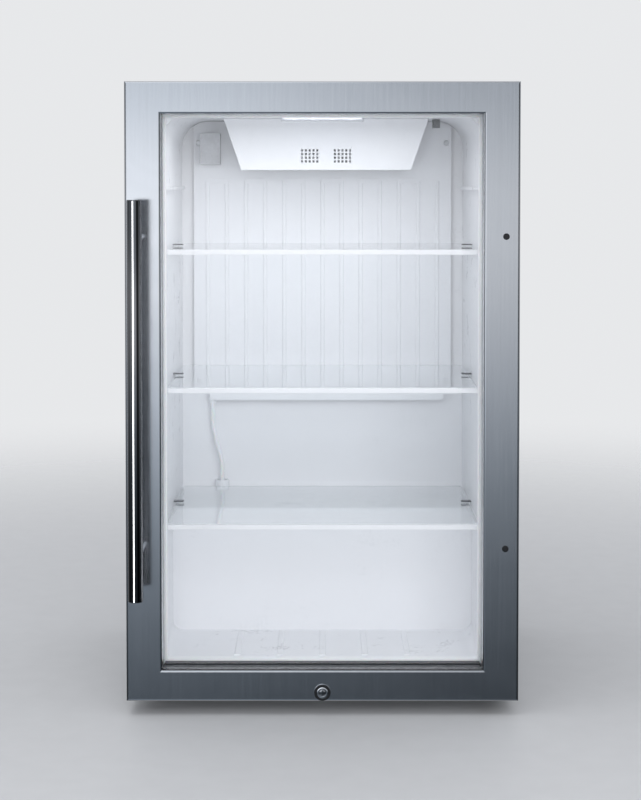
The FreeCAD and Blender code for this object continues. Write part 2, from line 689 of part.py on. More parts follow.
def floor_ribs():
    """Low rounded ribs along the liner floor."""
    ribs = []
    for index in range(RIB_COUNT):
        x = (index - (RIB_COUNT - 1) / 2.0) * RIB_PITCH
        rib = box(x - RIB_W / 2.0, x + RIB_W / 2.0, CAB_FRONT + 24, STEP_Y - 10,
                  LINER_Z0 - 0.5, LINER_Z0 + RIB_H)
        top = LINER_Z0 + RIB_H
        rib = rib.makeFillet(1.8, edges_where(rib, lambda point: abs(point.z - top) < 1e-6))
        ribs.append(rib)
    return ribs


def drain_place():
    """Centre of the drain in the step top."""
    return V(DRAIN_IN - LINER_X, LINER_BACK - DRAIN_FORE, STEP_Z)


def inner_liner():
    """White moulded liner: flange, walls, step, ledges and floor ribs."""
    tub = cavity(LINER_T)
    flange = box(-FLANGE_X, FLANGE_X, CAB_FRONT, CAB_FRONT + LINER_T, FLANGE_Z0, FLANGE_Z1)
    liner = tub.fuse(flange).removeSplitter().cut(cavity(0.0))
    liner = liner.multiFuse(shelf_ledges() + floor_ribs()).removeSplitter()
    drain = drain_place()
    liner = liner.cut(cyl(5.0 + SEAT_CLEAR, 20, drain.x, drain.y, drain.z - 10))
    liner = liner.cut(wall_screw_holes())
    return liner.cut(suction_hole(6.0))


def suction_place():
    """Where the suction line passes through the liner's back wall."""
    return V(SUCTION_IN - LINER_X, LINER_BACK, LINER_Z1 - SUCTION_DROP)


def suction_hole(radius):
    """Hole through the back wall for the suction line."""
    place = suction_place()
    return cyl(radius, 40, place.x, LINER_BACK - 15, place.z, Y_AXIS)


def cabinet_shell():
    """Stainless wrapper: two sides, top and the turned-in front edges."""
    t = SHELL_T
    body = box(-CX, CX, CAB_FRONT, BACK - SHELL_T, Z0, CAB_TOP)
    body = body.cut(box(-CX + t, CX - t, CAB_FRONT + t, BACK + 1, Z0 - 1, CAB_TOP - t))
    window = box(-FLANGE_X, FLANGE_X, CAB_FRONT - 1, CAB_FRONT + 5, FLANGE_Z0, FLANGE_Z1)
    shell = body.cut(window)
    for end in (1, -1):
        for z in hinge_screw_heights(end):
            shell = shell.cut(cyl(2.5, 10, hinge_screw_x(), CAB_FRONT - 2, z, Y_AXIS))
    return shell


def base_panel():
    """Steel floor of the cabinet with nuts' holes for the feet."""
    t = SHELL_T
    panel = box(-CX + t, CX - t, CAB_FRONT + t, BACK - SHELL_T, Z0, PAN_TOP)
    for x, y in foot_places():
        panel = panel.cut(cyl(foot_bore() + 1.5, 10, x, y, Z0 - 2))
    slots = []
    for index in range(8):
        x = 40 + index * 16.0
        slots.append(box(x, x + 6, ROOM_Y + 35, ROOM_Y + 110, Z0 - 2, PAN_TOP + 2))
    return panel.cut(Part.makeCompound(slots))


def foot_bore():
    """Bore radius of the threaded foot bosses."""
    return FOOT_STUD_D / 2.0 + RUN_CLEAR


def foot_places():
    """Plan position of the four feet."""
    x = CX - FOOT_IN_X
    y0 = CAB_FRONT + FOOT_IN_FRONT
    y1 = BACK - FOOT_IN_BACK
    return ((-x, y0), (x, y0), (-x, y1), (x, y1))


def insulation():
    """Foamed body between shell and liner, cut away for the machine space."""
    t = SHELL_T
    block = box(-CX + t, CX - t, CAB_FRONT + LINER_T, BACK - SHELL_T, PAN_TOP, CAB_TOP - t)
    block = block.cut(cavity(LINER_T))
    block = block.cut(box(-CX, CX, ROOM_Y, BACK, 0, ROOM_Z))
    drain = drain_place()
    block = block.cut(cyl(5.0 + SEAT_CLEAR, 90, drain.x, drain.y, drain.z - 80))
    place = suction_place()
    block = block.cut(cyl(7.0, 22, place.x, LINER_BACK - 1, place.z, Y_AXIS))
    block = block.cut(cyl(7.0, place.z - ROOM_Z + 8, place.x, LINER_BACK + 14, ROOM_Z - 1))
    for x, y in foot_places()[:2]:
        block = block.cut(cyl(FOOT_BOSS_D / 2.0 + 0.5, FOOT_BOSS_H + 2, x, y, PAN_TOP - 1))
    for end in (1, -1):
        for z in hinge_screw_heights(end):
            block = block.cut(cyl(3.0, 14, hinge_screw_x(), CAB_FRONT, z, Y_AXIS))
    return block.cut(wall_screw_holes())


def back_panel():
    """Flat rear panel above the machine space."""
    t = SHELL_T
    return box(-CX, CX, BACK - t, BACK, ROOM_Z - COVER_LAP, CAB_TOP)


def rear_grille():
    """Louvred cover of the machine space with cut-outs for controls and inlet."""
    cover = box(-CX, CX, BACK - SHELL_T, BACK, Z0, ROOM_Z - COVER_LAP - 0.5)
    slots = []
    for row in range(9):
        z = Z0 + 22 + row * 13.0
        for x0, x1 in ((60.0, 140.0), (148.0, 222.0)):
            slots.append(box(x0, x1, BACK - 5, BACK + 5, z, z + 5.5))
        if row < 6:
            slots.append(box(-220.0, -60.0, BACK - 5, BACK + 5, z, z + 5.5))
    cover = cover.cut(Part.makeCompound(slots))
    cover = cover.cut(cyl(4.4, 20, control_place().x, BACK - 10, control_place().z, Y_AXIS))
    inlet = inlet_place()
    return cover.cut(box(inlet.x - 14, inlet.x + 14, BACK - 5, BACK + 5, inlet.z - 12, inlet.z + 12))


def control_place():
    """Axis of the thermostat on the rear cover."""
    return V(10.0, BACK, Z0 + 118)


def inlet_place():
    """Centre of the power inlet on the rear cover."""
    return V(10.0, BACK, Z0 + 40)


# ---------------------------------------------------------------- shelves
def shelf_glass():
    """Glass panels of all shelves."""
    return Part.makeCompound([shelf_panel(height) for height in SHELF_ZS])


def shelf_trims():
    """Front trims of all shelves."""
    return Part.makeCompound([shelf_trim(height) for height in SHELF_ZS])


def shelf_panel(height):
    """Glass panel of one shelf."""
    z = height - SHELF_TRIM_H / 2.0
    y0 = SHELF_Y + SHELF_TRIM_D - SHELF_GRIP
    return box(-SHELF_X, SHELF_X, y0, SHELF_BACK, z, z + SHELF_GLASS_T)


def shelf_trim(height):
    """White channel pushed over the front edge of one shelf."""
    z = height - SHELF_TRIM_H / 2.0
    x = SHELF_X
    y1 = SHELF_Y + SHELF_TRIM_D
    low = box(-LINER_X + LEDGE_D + 0.5, LINER_X - LEDGE_D - 0.5, SHELF_Y, y1, z - 1.0, z)
    bar = box(-x, x, SHELF_Y, y1, z, z + SHELF_GLASS_T + 1.0)
    slot = box(-x - 1, x + 1, y1 - SHELF_GRIP, y1 + 1, z, z + SHELF_GLASS_T)
    return bar.cut(slot).fuse(low).removeSplitter()


def shelf_clips():
    """Small clips that hold each shelf down, one on each side."""
    clips = []
    y = SHELF_Y + CLIP_BACK
    for height in SHELF_ZS:
        z = height - SHELF_TRIM_H / 2.0 + SHELF_GLASS_T
        for side in (-1, 1):
            x0 = side * (LINER_X - CLIP_W / 2.0) - CLIP_W / 2.0
            clip = box(x0, x0 + CLIP_W, y, y + CLIP_L, z, z + CLIP_H)
            clips.append(clip)
    return Part.makeCompound(clips)


def wall_screws():
    """Screws on the hinge-side wall that reach the hinge's stiffener."""
    return [pan_screw(WALL_SCREW_D / 2.0, 8.0, WALL_SCREW_D, 1.4, LINER_X, wall_screw_y(),
                      LINER_Z1 - LINER_TOP_R - drop, X_AXIS) for drop in WALL_SCREW_DROPS]


def wall_screw_y():
    """Depth of the wall screws."""
    return CAB_FRONT + WALL_SCREW_BACK


def wall_screw_holes():
    """Clearance for the wall screws in liner and foam."""
    return Part.makeCompound([cyl(WALL_SCREW_D / 2.0 + SEAT_CLEAR, 8.5, LINER_X, wall_screw_y(),
                                  LINER_Z1 - LINER_TOP_R - drop, X_AXIS) for drop in WALL_SCREW_DROPS])


# ---------------------------------------------------------------- cold side
def evaporator_plate():
    """Roll-bonded plate with raised refrigerant channels."""
    plate = box(-EVAP_X, EVAP_X, EVAP_Y, EVAP_Y + EVAP_T, EVAP_Z0, EVAP_Z1)
    plate = plate.common(cavity(-EVAP_EDGE_GAP))
    span = 2.0 * EVAP_X - 40.0
    pitch = span / (EVAP_CHANNELS - 1)
    low = EVAP_Z0 + 14
    high = EVAP_Z1 - SHROUD_H - 14
    channels = []
    for index in range(EVAP_CHANNELS):
        x = -span / 2.0 + index * pitch
        channels.append(channel(x, x, low, high))
    for index in range(EVAP_CHANNELS - 1):
        x = -span / 2.0 + index * pitch
        z = high if index % 2 == 0 else low
        channels.append(box(x, x + pitch, EVAP_Y - CHANNEL_H, EVAP_Y + 0.5,
                            z - CHANNEL_W / 2.0, z + CHANNEL_W / 2.0))
    plate = plate.multiFuse(channels).removeSplitter()
    for x, z in evaporator_fixings():
        plate = plate.cut(cyl(2.2, 10, x, EVAP_Y - 5, z, Y_AXIS))
    return plate.cut(suction_hole(SUCTION_D / 2.0 + 2.0))


def channel(x0, x1, z0, z1):
    """One raised channel with sloping sides."""
    half = CHANNEL_W / 2.0
    y = EVAP_Y - CHANNEL_H
    points = [V(x0 - half, EVAP_Y + 0.5, z0), V(x0 - half + 1.5, y, z0), V(x0 + half - 1.5, y, z0),
              V(x0 + half, EVAP_Y + 0.5, z0)]
    face = Part.Face(Part.makePolygon(points + [points[0]]))
    return face.extrude(V(x1 - x0, 0, z1 - z0))


def evaporator_fixings():
    """Places of the plate's four screws."""
    x = EVAP_X - 7.0
    return ((-x, EVAP_Z1 - 30), (x, EVAP_Z1 - 30), (-x, EVAP_Z0 + 8), (x, EVAP_Z0 + 8))


def evaporator_screws():
    """Screws through the plate, each with its stand-off to the liner."""
    screws = [pan_screw(1.8, EVAP_GAP + EVAP_T - 0.2, 3.8, 1.8, x, EVAP_Y, z, Y_AXIS)
              for x, z in evaporator_fixings()]
    spacers = [tube(5.0, 2.2, EVAP_GAP, x, EVAP_Y + EVAP_T, z, Y_AXIS)
               for x, z in evaporator_fixings()]
    return Part.makeCompound(screws + spacers)


def shroud_solid(shrink):
    """Tapered block of the fan shroud, made smaller by its wall."""
    top = SHROUD_TOP_X - shrink
    low = SHROUD_LOW_X - shrink
    z0 = SHROUD_Z + shrink
    y0 = SHROUD_Y + shrink
    z1 = LINER_Z1 - 0.2
    points = [V(SHROUD_X - low, y0, z0), V(SHROUD_X + low, y0, z0), V(SHROUD_X + top, y0, z1),
              V(SHROUD_X - top, y0, z1)]
    face = Part.Face(Part.makePolygon(points + [points[0]]))
    return face.extrude(V(0, SHROUD_D - shrink, 0))


def fan_shroud():
    """White moulded cover over the circulating fan, open at the back, with grille slots."""
    cover = shroud_solid(0.0).cut(shroud_solid(SHROUD_T))
    grille_z = SHROUD_Z + 8
    slots = []
    for side in (-1, 1):
        for column in range(5):
            for row in range(4):
                x = SHROUD_X + side * (12 + column * 5.2)
                z = grille_z + 2 + row * 5.0
                slots.append(box(x - 1.4, x + 1.4, SHROUD_Y - 3, SHROUD_Y + 5, z, z + 3.2))
    for column in range(16):
        x = SHROUD_X - 60 + column * 8.0
        slots.append(box(x - 2, x + 2, SHROUD_Y + 20, SHROUD_Y + 60, SHROUD_Z - 2, SHROUD_Z + 5))
    return cover.cut(Part.makeCompound(slots))


def cool_fan_axis():
    """Front end of the circulating fan's axis."""
    return V(SHROUD_X, SHROUD_Y + 12, LINER_Z1 - 33)


def cool_fan_frame():
    """Square frame of the circulating fan with its motor seat on three arms."""
    c = cool_fan_axis()
    half = COOL_FAN_R + 4.0
    body = box(c.x - half, c.x + half, c.y, c.y + 22, c.z - half, c.z + half)
    body = body.cut(cyl(COOL_FAN_R + 1.5, 30, c.x, c.y - 2, c.z, Y_AXIS))
    arms = [cyl(11.0, 5.0, c.x, c.y + 17, c.z, Y_AXIS)]
    for index in range(3):
        arm = box(0, COOL_FAN_R + 3, -2, 2, 0, 4)
        arm.Placement = FreeCAD.Placement(V(c.x, c.y + 22, c.z), FreeCAD.Rotation(X_AXIS, 90))
        arm.rotate(c, Y_AXIS, 90 + index * 120)
        arms.append(arm.common(box(c.x - half, c.x + half, c.y, c.y + 22, c.z - half, c.z + half)))
    return body.multiFuse(arms).removeSplitter()


def impeller(centre, axis, hub_r, tip_r, depth, blades):
    """Axial impeller: a hub and pitched blades."""
    hub = cyl(hub_r, depth, 0, 0, 0)
    parts = []
    for index in range(blades):
        blade = box(hub_r - 1.0, tip_r, -0.8, 0.8, -depth * 0.55, depth * 0.55)
        blade.rotate(V(0, 0, 0), X_AXIS, 52)
        blade.translate(V(0, 0, depth / 2.0))
        blade.rotate(V(0, 0, 0), Z_AXIS, index * 360.0 / blades)
        parts.append(blade.common(cyl(tip_r, depth, 0, 0, 0)))
    shape = hub.multiFuse(parts).removeSplitter()
    shape.Placement = FreeCAD.Placement(centre, FreeCAD.Rotation(Z_AXIS, axis))
    return shape


def cool_fan():
    """Impeller of the circulating fan."""
    c = cool_fan_axis()
    return impeller(V(c.x, c.y + 2, c.z), Y_AXIS, 10.0, COOL_FAN_R, 14.0, 7)


def lamp_body():
    """Lamp housing on the ceiling."""
    y0 = CAB_FRONT + LAMP_SETBACK
    return box(-LAMP_W / 2.0, LAMP_W / 2.0, y0, y0 + LAMP_D, LINER_Z1 - 1.5, LINER_Z1)


def lamp_board():
    """Board with the light sources."""
    y0 = CAB_FRONT + LAMP_SETBACK
    board = box(-LAMP_W / 2.0 + 4, LAMP_W / 2.0 - 4, y0 + 4, y0 + LAMP_D - 4, LINER_Z1 - 2.5,
                LINER_Z1 - 1.5)
    chips = []
    for x in (-38.0, -13.0, 13.0, 38.0):
        chips.append(box(x - 2.5, x + 2.5, y0 + LAMP_D / 2.0 - 2.5, y0 + LAMP_D / 2.0 + 2.5,
                         LINER_Z1 - 3.5, LINER_Z1 - 2.5))
    return board.multiFuse(chips)


def lamp_lens():
    """Clear cover of the lamp."""
    y0 = CAB_FRONT + LAMP_SETBACK
    shell = box(-LAMP_W / 2.0 + 1, LAMP_W / 2.0 - 1, y0 + 1, y0 + LAMP_D - 1, LINER_Z1 - 1.5 - LAMP_H,
                LINER_Z1 - 1.5)
    inner = box(-LAMP_W / 2.0 + 2.2, LAMP_W / 2.0 - 2.2, y0 + 2.2, y0 + LAMP_D - 2.2,
                LINER_Z1 - 0.3 - LAMP_H, LINER_Z1)
    return shell.cut(inner)


def temperature_probe():
    """Sensor held in a clip on the liner ceiling beside the shroud."""
    x = LINER_X - LINER_TOP_R - PROBE_IN
    y = SHROUD_Y + 22
    clip = box(x - 5, x + 5, y, y + 10, LINER_Z1 - 12, LINER_Z1)
    clip = clip.cut(cyl(3.0 + SEAT_CLEAR, 30, x, y - 8, LINER_Z1 - 7, Y_AXIS))
    return Part.makeCompound([clip, cyl(3.0, 30, x, y - 8, LINER_Z1 - 7, Y_AXIS)])


def drain_tray():
    """Channel that catches melt water under the plate."""
    y1 = LINER_BACK - 1.0
    y0 = y1 - TRAY_D
    z = TRAY_Z
    half = EVAP_X - TRAY_INSET
    w = TRAY_WALL
    tray = box(TRAY_X - half, TRAY_X + half, y0, y1, z, z + TRAY_H)
    tray = tray.cut(box(TRAY_X - half + w, TRAY_X + half - w, y0 + w, y1 - w, z + w, z + TRAY_H + 1))
    x = hose_points()[0].x
    y = hose_points()[0].y
    spout = tube(HOSE_D / 2.0 + 1.6, HOSE_D / 2.0 - 1.0, 6, x, y, z - 6)
    tray = tray.cut(cyl(HOSE_D / 2.0 - 1.0, 20, x, y, z - 10))
    return tray.fuse(spout).removeSplitter()


def hose_points():
    """Run of the drain hose from tray to funnel."""
    drain = drain_place()
    top = TRAY_Z - 6
    x = HOSE_IN - LINER_X
    middle = x + 6
    return (V(x, drain.y, top), V(x, drain.y, top - 30), V(middle, drain.y, top - 58),
            V(drain.x, drain.y, top - 84), V(drain.x, drain.y, STEP_Z + 12))


def drain_hose():
    """Soft drain hose."""
    return route_tube(hose_points(), 28.0, HOSE_D)


def drain_funnel():
    """Funnel and tube that carry the water through the step."""
    drain = drain_place()
    cup = tube(9.5, 7.5, 12, drain.x, drain.y, drain.z + 3)
    base = tube(9.5, 3.5, 3, drain.x, drain.y, drain.z)
    stem = tube(5.0, 3.5, drain.z - ROOM_Z + 6, drain.x, drain.y, ROOM_Z - 6)
    return cup.fuse(base).fuse(stem).removeSplitter()


def suction_line():
    """Suction tube from the plate through the back wall and down to the machine space."""
    place = suction_place()
    c = comp_centre()
    y = LINER_BACK + 14
    side = c.x - COMP_R - 22
    points = (V(place.x, EVAP_Y - 22, place.z), V(place.x, y, place.z), V(place.x, y, ROOM_Z - 10),
              V(side, y, ROOM_Z - 10), V(side, y, stub_z()), V(side, c.y, stub_z()),
              V(c.x - COMP_R - STUB_L, c.y, stub_z()))
    return route_tube(points, 8.0, SUCTION_D)


def stub_z():
    """Height of the compressor's suction and discharge stubs."""
    return comp_centre().z + 44


def copper_lines():
    """Discharge line, liquid line and capillary of the machine space."""
    c = comp_centre()
    z0 = condenser_rows()[0]
    y = CONDENSER_Y0 - 20
    drier_z = drier_height()
    start = CONDENSER_Y0
    x0, x1 = CONDENSER_X
    discharge = (V(c.x + 28, c.y - COMP_R - STUB_L, stub_z()), V(c.x + 28, y, stub_z()),
                 V(x0 - 30, y, stub_z()), V(x0, y, z0), V(x0, start, z0))
    liquid = (V(x1, start, z0), V(x1, y, z0), V(DRIER_X, y, z0), V(DRIER_X, y, drier_z),
              V(DRIER_X, ROOM_MID - DRIER_L / 2.0 - 15, drier_z))
    back = BACK - 22
    top = ROOM_Z - 13
    capillary = (V(DRIER_X, ROOM_MID + DRIER_L / 2.0 + 15, drier_z), V(DRIER_X, back, drier_z),
                 V(DRIER_X, back, top), V(c.x - 40, back, top),
                 V(c.x - 40, LINER_BACK + 14 + SUCTION_D / 2.0 + 0.5, top))
    return Part.makeCompound([route_tube(discharge, 8.0, LINE_D), route_tube(liquid, 8.0, LINE_D),
                              route_tube(capillary, 5.0, 2.4)])


def suction_sleeve():
    """Grey foam sleeve round the suction line in front of the plate."""
    place = suction_place()
    sleeve = box(place.x - 14, place.x + 14, EVAP_Y - 30, EVAP_Y - CHANNEL_H - 0.5,
                 place.z - 22, place.z + 22)
    return sleeve.cut(cyl(SUCTION_D / 2.0 + SEAT_CLEAR, 60, place.x, EVAP_Y - 22, place.z, Y_AXIS))


# ---------------------------------------------------------------- machine space
def comp_centre():
    """Plan centre and base height of the compressor."""
    return V(COMP_X, ROOM_MID + 4, PAN_TOP + 12)


def compressor():
    """Hermetic compressor can with stubs and a foot plate."""
    c = comp_centre()
    can = cyl(COMP_R, COMP_H, c.x, c.y, c.z + 3)
    can = can.makeFillet(22.0, [e for e in can.Edges if e.CenterOfMass.z > c.z + COMP_H - 2])
    foot = box(c.x - 78, c.x + 78, c.y - 48, c.y + 48, c.z, c.z + 3)
    seam = cyl(COMP_R + 2.5, 3.0, c.x, c.y, c.z + 58)
    suction = cyl(SUCTION_D / 2.0 + 1, COMP_R + STUB_L, c.x, c.y, stub_z(), V(-1, 0, 0))
    discharge = cyl(LINE_D / 2.0 + 1, COMP_R + STUB_L, c.x + 28, c.y, stub_z(), V(0, -1, 0))
    shape = can.multiFuse([foot, seam, suction, discharge]).removeSplitter()
    for x, y in grommet_places():
        shape = shape.cut(cyl(5.0, 12, x, y, c.z - 4))
    return shape


def grommet_places():
    """Plan position of the four compressor mounts."""
    c = comp_centre()
    return ((c.x - 68, c.y - 38), (c.x + 68, c.y - 38), (c.x - 68, c.y + 38), (c.x + 68, c.y + 38))


def compressor_mounts():
    """Rubber grommets and bolts that hold the compressor."""
    base = comp_centre().z
    pieces = []
    for x, y in grommet_places():
        pieces.append(tube(9.0, 3.5, base - PAN_TOP, x, y, PAN_TOP))
        stem = cyl(3.0, base + 3 - PAN_TOP, x, y, PAN_TOP)
        head = cyl(8.0, 1.5, x, y, base + 3).fuse(cyl(5.0, 5.0, x, y, base + 4.5))
        pieces.append(stem.fuse(head).removeSplitter())
    return Part.makeCompound(pieces)


def relay_box():
    """Starter and terminal cover beside the compressor."""
    c = comp_centre()
    x0 = c.x + COMP_R + 3.5
    block = box(x0, x0 + 26, c.y - 24, c.y + 24, c.z + 22, c.z + 78)
    return block.makeFillet(3.0, edges_where(block, lambda point: point.x > x0 + 20))


def evaporation_pan():
    """Open pan over the compressor for the drain water."""
    c = comp_centre()
    z = c.z + COMP_H + 3.4
    pan = box(c.x - 60, c.x + 60, c.y - 46, BACK - 8, z, z + 14)
    return pan.cut(box(c.x - 58, c.x + 58, c.y - 44, BACK - 10, z + 1.5, z + 20))


def condenser_rows():
    """Heights of the condenser passes."""
    return [PAN_TOP + 26 + index * CONDENSER_PITCH for index in range(CONDENSER_ROWS)]


def condenser_tube():
    """Serpentine tube in two columns of passes."""
    r = CONDENSER_TUBE_D / 2.0
    parts = []
    rows = condenser_rows()
    bend = (rows[1] - rows[0]) / 2.0
    for x in CONDENSER_X:
        for z in rows:
            parts.append(cyl(r, CONDENSER_Y1 - CONDENSER_Y0, x, CONDENSER_Y0, z, Y_AXIS))
        for index in range(len(rows) - 1):
            at_back = index % 2 == 0
            y = CONDENSER_Y1 if at_back else CONDENSER_Y0
            parts.append(u_bend(x, y, (rows[index] + rows[index + 1]) / 2.0, bend, r, at_back))
    gap = (CONDENSER_X[1] - CONDENSER_X[0]) / 2.0
    link = u_bend(0, 0, 0, gap, r, True)
    link.rotate(V(0, 0, 0), Y_AXIS, 90)
    link.translate(V((CONDENSER_X[0] + CONDENSER_X[1]) / 2.0, CONDENSER_Y1, rows[-1]))
    return parts[0].multiFuse(parts[1:] + [link]).removeSplitter()


def u_bend(x, y, z, bend, r, at_back):
    """Half ring that joins two passes at one end of the block."""
    ring = Part.makeTorus(bend, r, V(x, y, z), X_AXIS)
    side = 1 if at_back else -1
    half = box(x - 20, x + 20, min(y, y + side * 40), max(y, y + side * 40), z - 40, z + 40)
    return ring.common(half)


def condenser_fins():
    """Thin fins on the condenser tube and the two end plates that carry it."""
    start = (CONDENSER_Y0 + CONDENSER_Y1) / 2.0 - (FIN_COUNT - 1) * FIN_PITCH / 2.0
    holes = []
    for x in CONDENSER_X:
        for z in condenser_rows():
            holes.append(cyl(CONDENSER_TUBE_D / 2.0 + SEAT_CLEAR, 200, x, CONDENSER_Y0 - 40, z, Y_AXIS))
    cutter = Part.makeCompound(holes)
    fins = []
    rows = condenser_rows()
    for index in range(FIN_COUNT):
        y = start + index * FIN_PITCH
        fin = box(CONDENSER_X[0] - 14, CONDENSER_X[1] + 14, y, y + 0.8, rows[0] - 14, rows[-1] + 14)
        fins.append(fin.cut(cutter))
    for y in (start - FIN_PITCH / 2.0 - 1.2, start + (FIN_COUNT - 0.5) * FIN_PITCH + 0.8):
        plate = box(CONDENSER_X[0] - 16, CONDENSER_X[1] + 16, y, y + 1.2, PAN_TOP, rows[-1] + 14)
        fins.append(plate.cut(cutter))
    return Part.makeCompound(fins)


def fan_centre():
    """Centre of the condenser fan's rear face."""
    return V(FAN_X, ROOM_MID, PAN_TOP + FAN_R + 18)


def condenser_fan_frame():
    """Square fan frame on the cabinet floor with its motor seat on four arms."""
    c = fan_centre()
    half = FAN_R + 6.0
    body = box(c.x, c.x + 30, c.y - half, c.y + half, PAN_TOP, c.z + half)
    body = body.cut(cyl(FAN_R + 2.0, 40, c.x - 2, c.y, c.z, X_AXIS))
    arms = [cyl(17.0, 8.0, c.x, c.y, c.z, X_AXIS)]
    for index in range(4):
        arm = box(c.x, c.x + 5, c.y - 2.5, c.y + 2.5, c.z, c.z + FAN_R + 3)
        arm.rotate(c, X_AXIS, 45 + index * 90)
        arms.append(arm)
    return body.multiFuse(arms).removeSplitter()


def condenser_fan():
    """Impeller of the condenser fan."""
    c = fan_centre()
    return impeller(V(c.x + 9, c.y, c.z), X_AXIS, 16.0, FAN_R, 18.0, 5)


def drier_height():
    """Height of the filter drier's axis."""
    return PAN_TOP + 60


def filter_drier():
    """Copper filter drier in front of the condenser."""
    y0 = ROOM_MID - DRIER_L / 2.0
    body = cyl(9.5, DRIER_L, DRIER_X, y0, drier_height(), Y_AXIS)
    neck = cyl(LINE_D / 2.0, DRIER_L + 30, DRIER_X, y0 - 15, drier_height(), Y_AXIS)
    body = body.makeChamfer(4.0, [e for e in body.Edges if len(e.Vertexes) == 1])
    return body.fuse(neck).removeSplitter()


def thermostat():
    """Thermostat body behind the rear cover."""
    p = control_place()
    block = box(p.x - 20, p.x + 20, BACK - 1 - 28, BACK - 1, p.z - 16, p.z + 16)
    bore = cyl(3.0 + RUN_CLEAR, 24, p.x, BACK - 20, p.z, Y_AXIS)
    return block.cut(bore)


def thermostat_knob():
    """Fluted knob with its spindle."""
    p = control_place()
    r = KNOB_D / 2.0
    knob = cyl(r, KNOB_H, p.x, BACK + KNOB_GAP, p.z, Y_AXIS)
    flutes = []
    for index in range(12):
        angle = math.radians(index * 30.0)
        flutes.append(cyl(1.6, KNOB_H + 2, p.x + (r + 0.6) * math.cos(angle), BACK,
                          p.z + (r + 0.6) * math.sin(angle), Y_AXIS))
    knob = knob.cut(Part.makeCompound(flutes))
    mark = box(p.x - 0.8, p.x + 0.8, BACK + KNOB_H - 0.4, BACK + KNOB_H + 2, p.z + 3, p.z + r)
    return knob.cut(mark).fuse(cyl(3.0, 18, p.x, BACK - 16, p.z, Y_AXIS)).removeSplitter()


def power_inlet():
    """Recessed three-pin inlet on the rear cover."""
    p = inlet_place()
    body = box(p.x - 13.8, p.x + 13.8, BACK - 20, BACK, p.z - 11.8, p.z + 11.8)
    plate = box(p.x - 25, p.x + 25, BACK, BACK + 2.5, p.z - 15, p.z + 15)
    socket = box(p.x - 11.5, p.x + 11.5, BACK - 16, BACK + 5, p.z - 8, p.z + 8)
    shell = body.fuse(plate).removeSplitter().cut(socket)
    pins = []
    for x, z in ((-6.0, -2.0), (6.0, -2.0), (0.0, 3.0)):
        pins.append(box(p.x + x - 1, p.x + x + 1, BACK - 16, BACK - 2, p.z + z - 2, p.z + z + 2))
    return Part.makeCompound([shell] + pins)


def panel_screws():
    """Screws of the back panel and rear cover."""
    screws = []
    for x in (-CX + 8, CX - 8):
        for z in (Z0 + 10, ROOM_Z - 16, ROOM_Z + 4, MID_Z + 80, CAB_TOP - 10):
            head = cyl(4.0, 1.8, x, BACK, z, Y_AXIS)
            screws.append(head.makeFillet(1.0, [e for e in head.Edges if e.CenterOfMass.y > BACK + 1]))
    return screws


def foot_pad(x, y):
    """Foot: a moulded pad with its threaded stud."""
    pad = cyl(FOOT_D / 2.0, FOOT_PAD_H, x, y, 0)
    pad = pad.makeFillet(1.5, [e for e in pad.Edges if len(e.Vertexes) == 1])
    stud = cyl(FOOT_STUD_D / 2.0, PAN_TOP + FOOT_BOSS_H - 5 - FOOT_PAD_H, x, y, FOOT_PAD_H)
    return pad.fuse(stud).removeSplitter()


def foot_nuts():
    """Threaded bosses that hold the feet's studs."""
    nuts = []
    for x, y in foot_places():
        boss = cyl(FOOT_BOSS_D / 2.0, FOOT_BOSS_H, x, y, PAN_TOP)
        boss = boss.fuse(cyl(foot_bore() + 1.4, PAN_TOP - Z0, x, y, Z0))
        nuts.append(boss.removeSplitter().cut(cyl(foot_bore(), 60, x, y, 0)))
    return Part.makeCompound(nuts)


